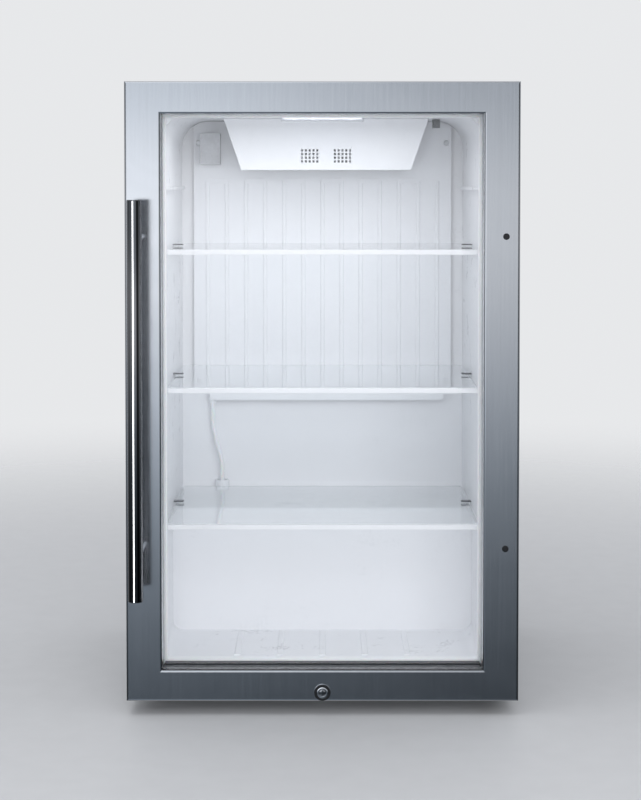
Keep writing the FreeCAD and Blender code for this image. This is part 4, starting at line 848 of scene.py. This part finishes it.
def lathe(name: str, profile: Sequence[Point2], centre: Vector, axis: Vector,
          steps: int = 64) -> bpy.types.Object:
    """Turn a profile of (radius, height) points round an axis.

    Args:
        name: Name of the object.
        profile: Radius and height of each point; a radius of 0 closes the end.
        centre: Foot of the axis.
        axis: Direction of the axis.
        steps: Divisions round the axis.

    Returns:
        The new object.
    """
    turn = UP.rotation_difference(axis)
    verts: list[Vector] = []
    faces: list[Sequence[int]] = []
    rings: list[list[int]] = []
    for radius, height in profile:
        count = 1 if radius < WELD_REACH else steps
        ring = []
        for i in range(count):
            angle = 2 * math.pi * i / steps
            local = Vector((radius * math.cos(angle), radius * math.sin(angle), height))
            ring.append(len(verts))
            verts.append(centre + turn @ local)
        rings.append(ring)
    for low, high in zip(rings, rings[1:]):
        for i in range(steps):
            quad = [low[i % len(low)], low[(i + 1) % len(low)], high[(i + 1) % len(high)],
                    high[i % len(high)]]
            face = list(dict.fromkeys(quad))
            if len(face) > 2:
                faces.append(face)
    return mesh_object(name, verts, faces)


class Side(Enum):
    """Sides of an upright opening, in order round it."""

    BOTTOM = 0
    RIGHT = 1
    TOP = 2
    LEFT = 3


def ring_sweep(name: str, profile: Sequence[Point2], x_half: float, z0: float, z1: float,
               sides: Sequence[Side] = tuple(Side)) -> bpy.types.Object:
    """Run a closed profile round a rectangle in the XZ plane, with mitred corners.

    Args:
        name: Name of the object.
        profile: Points as (distance outward from the rectangle, y).
        x_half: Half width of the rectangle.
        z0: Its lower edge.
        z1: Its upper edge.
        sides: Sides to make; the ends are closed where one is left out.

    Returns:
        The new object.
    """
    corners = ((-1, -1, z0), (1, -1, z0), (1, 1, z1), (-1, 1, z1))
    verts = []
    for sx, sz, z in corners:
        for out, y in profile:
            verts.append((sx * (x_half + out), y, z + sz * out))
    n = len(profile)
    made = [side.value for side in sides]
    faces: list[Sequence[int]] = []
    for k in made:
        nxt = (k + 1) % 4
        for i in range(n):
            j = (i + 1) % n
            faces.append((k * n + i, k * n + j, nxt * n + j, nxt * n + i))
        if (k - 1) % 4 not in made:
            faces.append(range(k * n, k * n + n))
        if nxt not in made:
            faces.append(range(nxt * n, nxt * n + n))
    used = sorted({i for face in faces for i in face})
    number = {old: new for new, old in enumerate(used)}
    kept = [[number[i] for i in face] for face in faces]
    return mesh_object(name, [verts[i] for i in used], kept)


def rounded(points: Sequence[Point2], radius: float, steps: int = 4) -> list[Point2]:
    """Round the corners of a closed outline.

    Args:
        points: Corners in order.
        radius: Wanted radius, limited by the sides.
        steps: Divisions of each corner.

    Returns:
        The rounded outline.
    """
    result: list[Point2] = []
    count = len(points)
    for i in range(count):
        corner = Vector(points[i])
        before = Vector(points[i - 1]) - corner
        after = Vector(points[(i + 1) % count]) - corner
        reach = min(radius, before.length * 0.49, after.length * 0.49)
        start = corner + before.normalized() * reach
        end = corner + after.normalized() * reach
        for s in range(steps + 1):
            t = s / steps
            p = start * (1 - t) ** 2 + corner * 2 * t * (1 - t) + end * t ** 2
            result.append((p.x, p.y))
    return result


# ------------------------------------------------------------------ sub-assemblies
@dataclass
class DoorFrame:
    """The door's frame, glass, gasket and seals.

    Attributes:
        lip_round: Rounding of the black inner frame.
        gasket_round: Rounding of the gasket.
        seal_round: Rounding of the glazing seal.
        spacer_round: Rounding of the bar between the panes.
        glass_cover: How far the steel covers the edge of the glass.
        trim: Thickness of the black strip of painted shade inside the steel opening.
        pocket: Length and depth of each hinge pocket.
        lining: Thickness of the sheet that lines a pocket.
        touch: Two faces this close are taken as one plane.
        cap: How far a pocket's end may lie from the core's end.
        gap: Clearance between a lining and its neighbours.
    """

    lip_round: float = 1.6 * MM
    gasket_round: float = 0.8 * MM
    seal_round: float = 0.9 * MM
    spacer_round: float = 0.5 * MM
    glass_cover: float = 8.0 * MM
    trim: float = 0.5 * MM
    pocket: Point2 = (50.0 * MM, 6.0 * MM)
    lining: float = 0.25 * MM
    touch: float = 0.1 * MM
    cap: float = 2.0 * MM
    gap: float = 0.05 * MM

    def build(self, maker: Maker) -> None:
        """Build the door's own pieces.

        Args:
            maker: Maker of the pieces.
        """
        maker.coat(maker.soften("door_inner_frame", self.lip_round, 4), GLOSS_BLACK)
        self.linings(maker)
        self.pocket_lining(maker)
        maker.soften("door_gasket", self.gasket_round, 4)
        maker.soften("glazing_seal", self.seal_round, 3)
        maker.coat(maker.soften("glass_spacer", self.spacer_round, 2), SPACER_DARK)

    def strip(self, name: str, front: float, back: float, inward: float, outward: float,
              sides: Sequence[Side]) -> bpy.types.Object:
        """Make a thin lining round the glass opening.

        Args:
            name: Name of the piece.
            front: Its front, along Y.
            back: Its back, along Y.
            inward: How far it stands into the opening.
            outward: How far it reaches out of the opening.
            sides: Sides of the opening that have it.

        Returns:
            The lining.
        """
        low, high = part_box("door_panes")
        cover = self.glass_cover
        profile = rounded([(outward, front), (outward, back), (-inward, back), (-inward, front)],
                          0.15 * MM, 3)
        return ring_sweep(name, profile, high.x - cover, low.z + cover, high.z - cover, sides)

    def pocket_lining(self, maker: Maker) -> None:
        """Cover the foam that would show in the door's two hinge pockets.

        Args:
            maker: Maker of the pieces.
        """
        core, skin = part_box("door_core"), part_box("door_skin")
        bm = bmesh.new()
        bm.from_mesh(frame["nodes"]["door_core"].data)
        other = [face for face in bm.faces if not self.lines_pocket(face, core, skin)]
        bmesh.ops.delete(bm, geom=other, context="FACES")
        bmesh.ops.remove_doubles(bm, verts=bm.verts, dist=WELD_REACH)
        mesh = bpy.data.meshes.new("hinge_pocket_lining")
        bm.to_mesh(mesh)
        bm.free()
        lining = link("hinge_pocket_lining", mesh)
        sheet = lining.modifiers.new("sheet", "SOLIDIFY")
        sheet.thickness = self.lining
        sheet.offset = 1.0
        bake_modifiers(lining)
        maker.place(lining, "door", "black_plastic")

    def lines_pocket(self, face: bmesh.types.BMFace, core: Box, skin: Box) -> bool:
        """Tell whether a face of the core is a wall of a hinge pocket.

        Args:
            face: The face.
            core: Low and high corner of the door's core.
            skin: Low and high corner of its skin.

        Returns:
            True for a pocket's wall.
        """
        core_low, core_high = core
        skin_low, skin_high = skin
        length, depth = self.pocket
        at, normal = face.calc_center_median(), face.normal
        inner_x = skin_high.x - length
        near_end = at.z > skin_high.z - depth - self.touch or at.z < skin_low.z + depth + self.touch
        outer = normal.x > FACING and at.x > inner_x + self.touch
        at_cap = at.z > core_high.z - self.cap or at.z < core_low.z + self.cap
        capped = abs(normal.z) > FACING and at_cap
        front = normal.y < -FACING
        return at.x >= inner_x - self.touch and near_end and not (outer or capped or front)

    def linings(self, maker: Maker) -> None:
        """Build the black strip along the bottom of the steel opening and the pale linings beside the
        glass; the black strip is painted shade, standing in for the shadow and dark reflection under the
        steel's lower edge.

        Args:
            maker: Maker of the pieces.
        """
        gap = self.gap
        skin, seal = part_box("door_skin")[0].y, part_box("glazing_seal")[0].y
        # painted shade: this black strip along the bottom of the steel opening stands in for the shadow
        # and dark reflection there
        painted_shade_strip = self.strip("opening_painted_shade_strip", skin + self.trim, seal - gap, self.trim, 0.0,
                          (Side.BOTTOM,))
        maker.place(painted_shade_strip, "door", "seal_black")
        around = (Side.RIGHT, Side.TOP, Side.LEFT)
        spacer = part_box("glass_spacer")
        cover = self.strip("spacer_cover", spacer[0].y + gap, spacer[1].y - gap, 0.1 * MM, 0.9 * MM,
                           around)
        maker.place(cover, "door", "aluminium")
        lip = self.strip("opening_lip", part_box("door_inner_frame")[0].y + gap,
                         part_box("door_gasket")[0].y + self.trim, self.trim, 0.0, around)
        maker.place(lip, "door", "gasket_white")


@dataclass
class Handle:
    """The handle's bar and the spare hole plugs.

    Attributes:
        end_round: Rounding of the bar's ends.
        end_steps: Steps across that rounding.
        turns: Divisions round the bar.
        plug_round: Rounding of the spare hole plugs.
    """

    end_round: float = 1.4 * MM
    end_steps: int = 6
    turns: int = 96
    plug_round: float = 0.6 * MM

    def build(self, maker: Maker) -> None:
        """Build the bar as a turned piece and round the hole plugs.

        Args:
            maker: Maker of the pieces.
        """
        low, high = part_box("handle_bar")
        radius = (high.x - low.x) / 2
        centre = Vector(((low.x + high.x) / 2, (low.y + high.y) / 2, low.z))
        length = high.z - low.z
        profile = [(0.0, 0.0)]
        profile += self.quarter(radius, 0.0, 1)
        profile += self.quarter(radius, length, -1)
        profile += [(0.0, length)]
        bar = lathe("handle_bar_turned", profile, centre, UP, self.turns)
        maker.place(bar, "door", "chrome", ["handle_bar"])
        maker.coat(bar, DARK_CHROME)
        maker.coat(maker.soften("hole_plugs", self.plug_round, 4, 30.0), GLOSS_BLACK)

    def quarter(self, radius: float, end: float, side: int) -> list[Point2]:
        """Points of one rounded rim.

        Args:
            radius: Radius of the bar.
            end: Height of the bar's end.
            side: 1 for the lower end, -1 for the upper one.

        Returns:
            Radius and height of each point, in order from low to high.
        """
        points = []
        for i in range(self.end_steps + 1):
            angle = math.pi / 2 * i / self.end_steps
            inset = self.end_round * (1 - math.sin(angle))
            rise = self.end_round * (1 - math.cos(angle))
            points.append((radius - inset, end + side * rise))
        return points if side > 0 else points[::-1]


@dataclass
class FoodSpace:
    """The liner, shelves and what hangs in the food space.

    Attributes:
        lip: Rounding of the liner's edges.
        trim_round: Rounding of the shelf trims.
        glass_round: Rounding of the shelf glass.
        clip_round: Rounding of the shelf clips.
        clip_stretch: Length and height of a clip, as shares of its solid's.
        shroud_round: Rounding of the fan shroud.
        plate_round: Rounding of the evaporator plate.
        tray_round: Rounding of the drain tray.
        sleeve_round: Rounding of the suction line's sleeve.
    """

    lip: float = 1.9 * MM
    trim_round: float = 1.0 * MM
    glass_round: float = 0.6 * MM
    clip_round: float = 0.8 * MM
    clip_stretch: Point2 = (1.7, 0.28)
    shroud_round: float = 1.6 * MM
    plate_round: float = 1.4 * MM
    tray_round: float = 0.5 * MM
    sleeve_round: float = 2.0 * MM

    def build(self, maker: Maker) -> None:
        """Build the pieces of the food space.

        Args:
            maker: Maker of the pieces.
        """
        maker.soften("inner_liner", self.lip, 4, 30.0)
        maker.soften("shelf_trims", self.trim_round, 3)
        maker.soften("shelf_glass", self.glass_round, 2)
        clips = maker.soften("shelf_clips", self.clip_round, 3, move=self.clip_shape)
        maker.coat(clips, CLIP_BLACK)
        maker.soften("fan_shroud", self.shroud_round, 3, 25.0)
        maker.soften("evaporator_plate", self.plate_round, 3, 25.0)
        maker.soften("drain_tray", self.tray_round, 2)
        maker.soften("suction_sleeve", self.sleeve_round, 3)

    def clip_shape(self, points: list[Vector]) -> list[Vector]:
        """Make one shelf clip flatter and longer than its solid.

        Args:
            points: Points of the clip.

        Returns:
            The moved points.
        """
        wall = max((p.x for p in points), key=abs)
        middle = sum(p.z for p in points) / len(points)
        longer, flatter = self.clip_stretch
        return [Vector((wall + (p.x - wall) * longer, p.y, middle + (p.z - middle) * flatter))
                for p in points]


@dataclass
class Lock:
    """Face of the cam lock: a dark collar, a bright ring and a key face.

    Attributes:
        collar: Outer radius of the collar.
        ring: Outer radius of the bright ring.
        key: Radius of the key face.
        stand: How far the collar stands over the barrel's flange.
        slot: Width and length of the key slot.
        turns: Divisions round each piece.
    """

    collar: float = 10.0 * MM
    ring: float = 6.9 * MM
    key: float = 4.3 * MM
    stand: float = 0.9 * MM
    slot: Point2 = (1.1 * MM, 5.4 * MM)
    turns: int = 72

    def build(self, maker: Maker) -> None:
        """Build the three pieces of the face.

        Args:
            maker: Maker of the pieces.
        """
        low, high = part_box("lock_barrel")
        centre = Vector(((low.x + high.x) / 2, low.y, (low.z + high.z) / 2))
        s = self.stand
        collar = [(self.ring, -s / 2), (self.ring, s * 0.6), (self.ring + 0.3 * MM, s * 0.9),
                  (self.ring + 0.9 * MM, s), (self.collar - 1.2 * MM, s),
                  (self.collar - 0.4 * MM, s * 0.8), (self.collar, s * 0.3), (self.collar, -s / 2),
                  (self.ring, -s / 2)]
        piece = lathe("lock_collar", collar, centre, OUTWARD, self.turns)
        maker.place(piece, "door", "black_plastic")
        maker.coat(piece, GLOSS_BLACK)
        ring = [(self.key, -s / 2), (self.key, s * 0.5), (self.key + 0.35 * MM, s * 1.1),
                (self.ring - 0.9 * MM, s * 1.25), (self.ring - 0.25 * MM, s), (self.ring, s * 0.4),
                (self.ring, -s / 2), (self.key, -s / 2)]
        maker.place(lathe("lock_ring", ring, centre, OUTWARD, self.turns), "door", "chrome")
        face = [(0.0, -s / 2), (self.key - 0.1 * MM, -s / 2), (self.key - 0.1 * MM, s * 0.35),
                (self.key - 0.5 * MM, s * 0.6), (0.0, s * 0.6)]
        key = lathe("lock_key_face", face, centre, OUTWARD, self.turns)
        self.cut_slot(key, centre)
        maker.place(key, "lock", "chrome")
        maker.coat(key, DARK_CHROME)
        maker.coat(frame["nodes"]["lock_plug"], DARK_CHROME)

    def cut_slot(self, key: bpy.types.Object, centre: Vector) -> None:
        """Cut the key slot out of the key face.

        Args:
            key: The key face.
            centre: Middle of the barrel's front.
        """
        x, z = self.slot[0] / 2, self.slot[1] / 2
        depth = self.stand
        corners = [centre + Vector((sx * x, y, sz * z)) for y in (-2 * depth, -depth * 0.1)
                   for sx, sz in ((-1, -1), (1, -1), (1, 1), (-1, 1))]
        faces = [(0, 1, 2, 3), (4, 5, 6, 7)]
        faces += [(i, (i + 1) % 4, 4 + (i + 1) % 4, 4 + i) for i in range(4)]
        cutter = mesh_object("slot_cutter", corners, faces)
        cut = key.modifiers.new("slot", "BOOLEAN")
        cut.operation = "DIFFERENCE"
        cut.object = cutter
        bake_modifiers(key)
        bpy.data.objects.remove(cutter)
        smooth(key, 30.0)


@dataclass
class Cabinet:
    """Small parts of the cabinet that show from outside or through the louvres.

    Attributes:
        rounding: Each part and the rounding of its edges, in millimetres.
    """

    rounding: tuple[tuple[str, float], ...] = (
        ("thermostat_knob", 0.6), ("power_inlet", 0.8), ("lock_strike", 0.5), ("hinge_brackets", 0.5),
        ("relay_box", 1.0), ("evaporation_pan", 0.4))

    def build(self, maker: Maker) -> None:
        """Round the parts.

        Args:
            maker: Maker of the pieces.
        """
        for node, width in self.rounding:
            maker.soften(node, width * MM, 2)


# ------------------------------------------------------------------ stage, light and camera
@dataclass
class Studio:
    """Floor, lights and camera.

    Attributes:
        distance: Camera to door face.
        height: Camera above the floor.
        lens: Focal length in millimetres.
        pitch: Camera tilt below level, in degrees.
        shift: Lens shift, sideways and up, as shares of the larger side.
        floor_size: Radius of the floor.
        strip_place: Middle of the light whose streak shows along the handle.
        strip_size: Its width and height.
        strip_power: Its power in watts.
        strip_aim: What it points at.
        front: Place, aim, size and power of the soft light in front.
        top: The same of the soft light above.
        behind_from: Degrees round from the front where the light behind begins and is full.
        rise_light: Brightness of the reflected surroundings by degrees above level.
        turn_light: Brightness of the reflected surroundings by degrees round from the front.
        back_light: Brightness of the reflected surroundings behind, by degrees above level.
    """

    distance: float = 2.100
    height: float = 0.6508
    lens: float = 78.04
    pitch: float = 2.149
    shift: Point2 = (-0.0024, -0.18875)
    floor_size: float = 3.0
    strip_place: Point3 = (-0.95, -2.2, -0.1)
    strip_size: Point2 = (0.62, 2.4)
    strip_power: float = 40.0
    strip_aim: Point3 = (-0.22, -0.24, 0.2)
    front: tuple[Point3, Point3, Point2, float] = ((0.35, -2.6, 1.1), (0, 0, 0.40), (1.6, 1.4), 25.0)
    top: tuple[Point3, Point3, Point2, float] = ((-0.6, -0.6, 2.4), (0, 0, 0.3), (1.8, 1.8), 14.0)
    behind_from: Point2 = (104.0, 140.0)
    rise_light: tuple[Point2, ...] = (
        (-60.0, 0.22), (-30.0, 0.16), (-20.0, 0.06), (-16.5, 0.075), (-14.5, 0.15), (-12.5, 0.20),
        (-10.2, 0.32), (-8.5, 0.47), (-6.5, 0.69), (-5.3, 0.80), (-3.6, 1.0), (-1.0, 1.17), (0.5, 1.1),
        (2.4, 0.72), (4.5, 0.6), (25.0, 0.75), (60.0, 0.9))
    turn_light: tuple[Point2, ...] = (
        (-180.0, 0.5), (-98.0, 0.4), (-88.0, 0.05), (-80.0, 0.3), (-40.0, 0.4), (-26.0, 1.1),
        (-14.0, 1.38), (-5.0, 1.34), (0.0, 1.02), (5.0, 0.74), (14.0, 0.62), (31.0, 0.5), (37.0, 0.04),
        (62.0, 0.04), (78.0, 0.3), (100.0, 0.5), (180.0, 0.5))
    back_light: tuple[Point2, ...] = ((-60.0, 0.34), (-15.0, 0.42), (5.0, 0.62), (30.0, 0.7),
                                      (60.0, 0.9))

    def camera(self) -> None:
        """Create the camera."""
        data = bpy.data.cameras.new("camera")
        data.lens = self.lens
        data.sensor_width = 36.0
        data.shift_x, data.shift_y = self.shift
        camera = link("camera", data)
        camera.location = (0.0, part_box("door_skin")[0].y - self.distance, self.height)
        camera.rotation_euler = (math.radians(90.0 - self.pitch), 0.0, 0.0)
        bpy.context.scene.camera = camera

    def floor(self) -> None:
        """Create a pale round floor that fades into the background."""
        rings, spokes = 24, 96
        verts = [(0.0, 0.0, 0.0)]
        faces = []
        for i in range(spokes):
            angle = 2 * math.pi * i / spokes
            for k in range(1, rings + 1):
                r = self.floor_size * k / rings
                verts.append((r * math.cos(angle), r * math.sin(angle), 0.0))
        for i in range(spokes):
            j = (i + 1) % spokes
            faces.append((0, 1 + i * rings, 1 + j * rings))
            for k in range(rings - 1):
                a = 1 + i * rings + k
                c = 1 + j * rings + k
                faces.append((a, a + 1, c + 1, c))
        floor = mesh_object("studio_floor", verts, faces)
        material = bpy.data.materials.new("studio_floor")
        material.use_nodes = True
        b = Board(material.node_tree)
        place = b.place()
        length = b.add("VectorMath", {"operation": "LENGTH"})
        b.put(length, 0, place)
        fade = b.remap(length.outputs["Value"], 0.7, 2.6, smooth=True)
        noise = b.add("TexNoise", Vector=place, Scale=30.0, Detail=3.0)
        colour = b.blend(noise.outputs["Fac"], (0.50, 0.505, 0.515), (0.54, 0.545, 0.555))
        bsdf = b.add("BsdfPrincipled", Base_Color=colour, Roughness=0.55)
        mix = b.mix_shaders(fade, bsdf, b.add("BsdfTransparent"))
        b.add("OutputMaterial", Surface=mix.outputs[0])
        floor.data.materials.append(material)
        floor.visible_glossy = False

    def lamp(self, name: str, place: Sequence[float], aim: Sequence[float], size: Point2,
             power: float, colour: Colour = (1.0, 1.0, 1.0)) -> bpy.types.Object:
        """Create one soft rectangular light.

        Args:
            name: Name of the light.
            place: Where it stands.
            aim: What it points at.
            size: Its width and height.
            power: Watts.
            colour: Colour of the light.

        Returns:
            The light.
        """
        data = bpy.data.lights.new(name, "AREA")
        data.shape = "RECTANGLE"
        data.size, data.size_y = size
        data.energy = power
        data.color = colour
        obj = link(name, data)
        obj.location = place
        direction = Vector(aim) - Vector(place)
        obj.rotation_euler = direction.to_track_quat("-Z", "Y").to_euler()
        obj.visible_glossy = False
        obj.visible_transmission = False
        obj.visible_camera = False
        return obj

    def lights(self) -> None:
        """Create the studio lights."""
        self.lamp("front_soft", *self.front)
        self.lamp("top_soft", *self.top)
        low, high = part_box("inner_liner")
        middle_x = (low.x + high.x) / 2
        front_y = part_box("shelf_trims")[0].y
        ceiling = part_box("lamp_lens")[1].z
        self.lamp("cabinet_lamp", (middle_x - 0.02, front_y + 0.08, ceiling - 0.012),
                  (middle_x - 0.02, front_y + 0.07, 0.0), (0.30, 0.12), 0.20, (0.97, 0.98, 1.0))
        fill = self.lamp("cabinet_fill", (middle_x, front_y, 0.52), (middle_x, 0.2, 0.52),
                         (0.34, 0.42), 0.17, (0.96, 0.975, 1.0))
        fill.data.use_shadow = False

    def strip(self, target: bpy.types.Object) -> None:
        """Create the tall light whose streak shows along the handle.

        Args:
            target: The only piece that it lights.
        """
        light = self.lamp("handle_strip", self.strip_place, self.strip_aim, self.strip_size,
                          self.strip_power)
        light.visible_glossy = True
        only = bpy.data.collections.new("lit_by_strip")
        only.objects.link(target)
        light.light_linking.receiver_collection = only

    def world(self) -> None:
        """Create the surroundings: pale to the eye, and a lit wall over a dark floor in reflections."""
        world = bpy.data.worlds.new("studio")
        world.use_nodes = True
        bpy.context.scene.world = world
        b = Board(world.node_tree)
        way = b.add("TexCoord").outputs["Generated"]
        parts = b.add("SeparateXYZ", Vector=way)
        x, y, z = (parts.outputs[i] for i in range(3))
        flat = b.math("SQRT", b.math("ADD", b.math("MULTIPLY", x, x), b.math("MULTIPLY", y, y)))
        rise = b.math("ARCTAN2", z, flat)
        degrees = b.math("MULTIPLY", rise, 180.0 / math.pi)
        stops = []
        for angle, value in self.rise_light:
            cold = 0.14 * max(0.0, 1.0 - value)
            stops.append((angle, (value * (0.97 - cold), value * 0.99, value * (1.03 + cold))))
        rise_colour = b.ramp(degrees, stops)
        side = b.math("MULTIPLY", b.math("ARCTAN2", x, b.math("MULTIPLY", y, -1.0)), 180.0 / math.pi)
        turn_colour = b.ramp(side, [(angle, (value,) * 3) for angle, value in self.turn_light])
        ahead = b.blend(1.0, rise_colour, turn_colour, "MULTIPLY")
        behind = b.ramp(degrees, [(angle, (value, value, value * 1.02))
                                  for angle, value in self.back_light])
        away = b.remap(b.math("ABSOLUTE", side), *self.behind_from, smooth=True)
        shine = b.blend(away, ahead, behind)
        path = b.add("LightPath")
        plain = b.add("Background", Color=(0.80, 0.81, 0.825, 1.0), Strength=1.0)
        soft = b.add("Background", Color=(0.935, 0.957, 1.0, 1.0), Strength=0.90)
        glossy = b.add("Background", Color=shine, Strength=1.0)
        seen = b.mix_shaders(path.outputs["Is Camera Ray"], soft, plain)
        surroundings = b.mix_shaders(path.outputs["Is Glossy Ray"], seen, glossy)
        b.add("OutputWorld", Surface=surroundings.outputs[0])

    def build(self) -> None:
        """Set up the whole stage."""
        self.camera()
        self.floor()
        self.lights()
        self.world()
        bpy.context.scene.view_settings.view_transform = "Standard"


def main() -> None:
    """Build every sub-assembly and the stage."""
    logging.basicConfig(level=logging.INFO, format="%(message)s")
    studio = Studio()
    studio.build()
    maker = Maker({slot: finish.build() for slot, finish in finishes().items()})
    maker.dress_frame()
    for part in (DoorFrame(), Handle(), Lock(), FoodSpace(), Cabinet()):
        part.build(maker)
    studio.strip(bpy.data.objects["handle_bar_turned"])


if __name__ == "__main__":
    main()
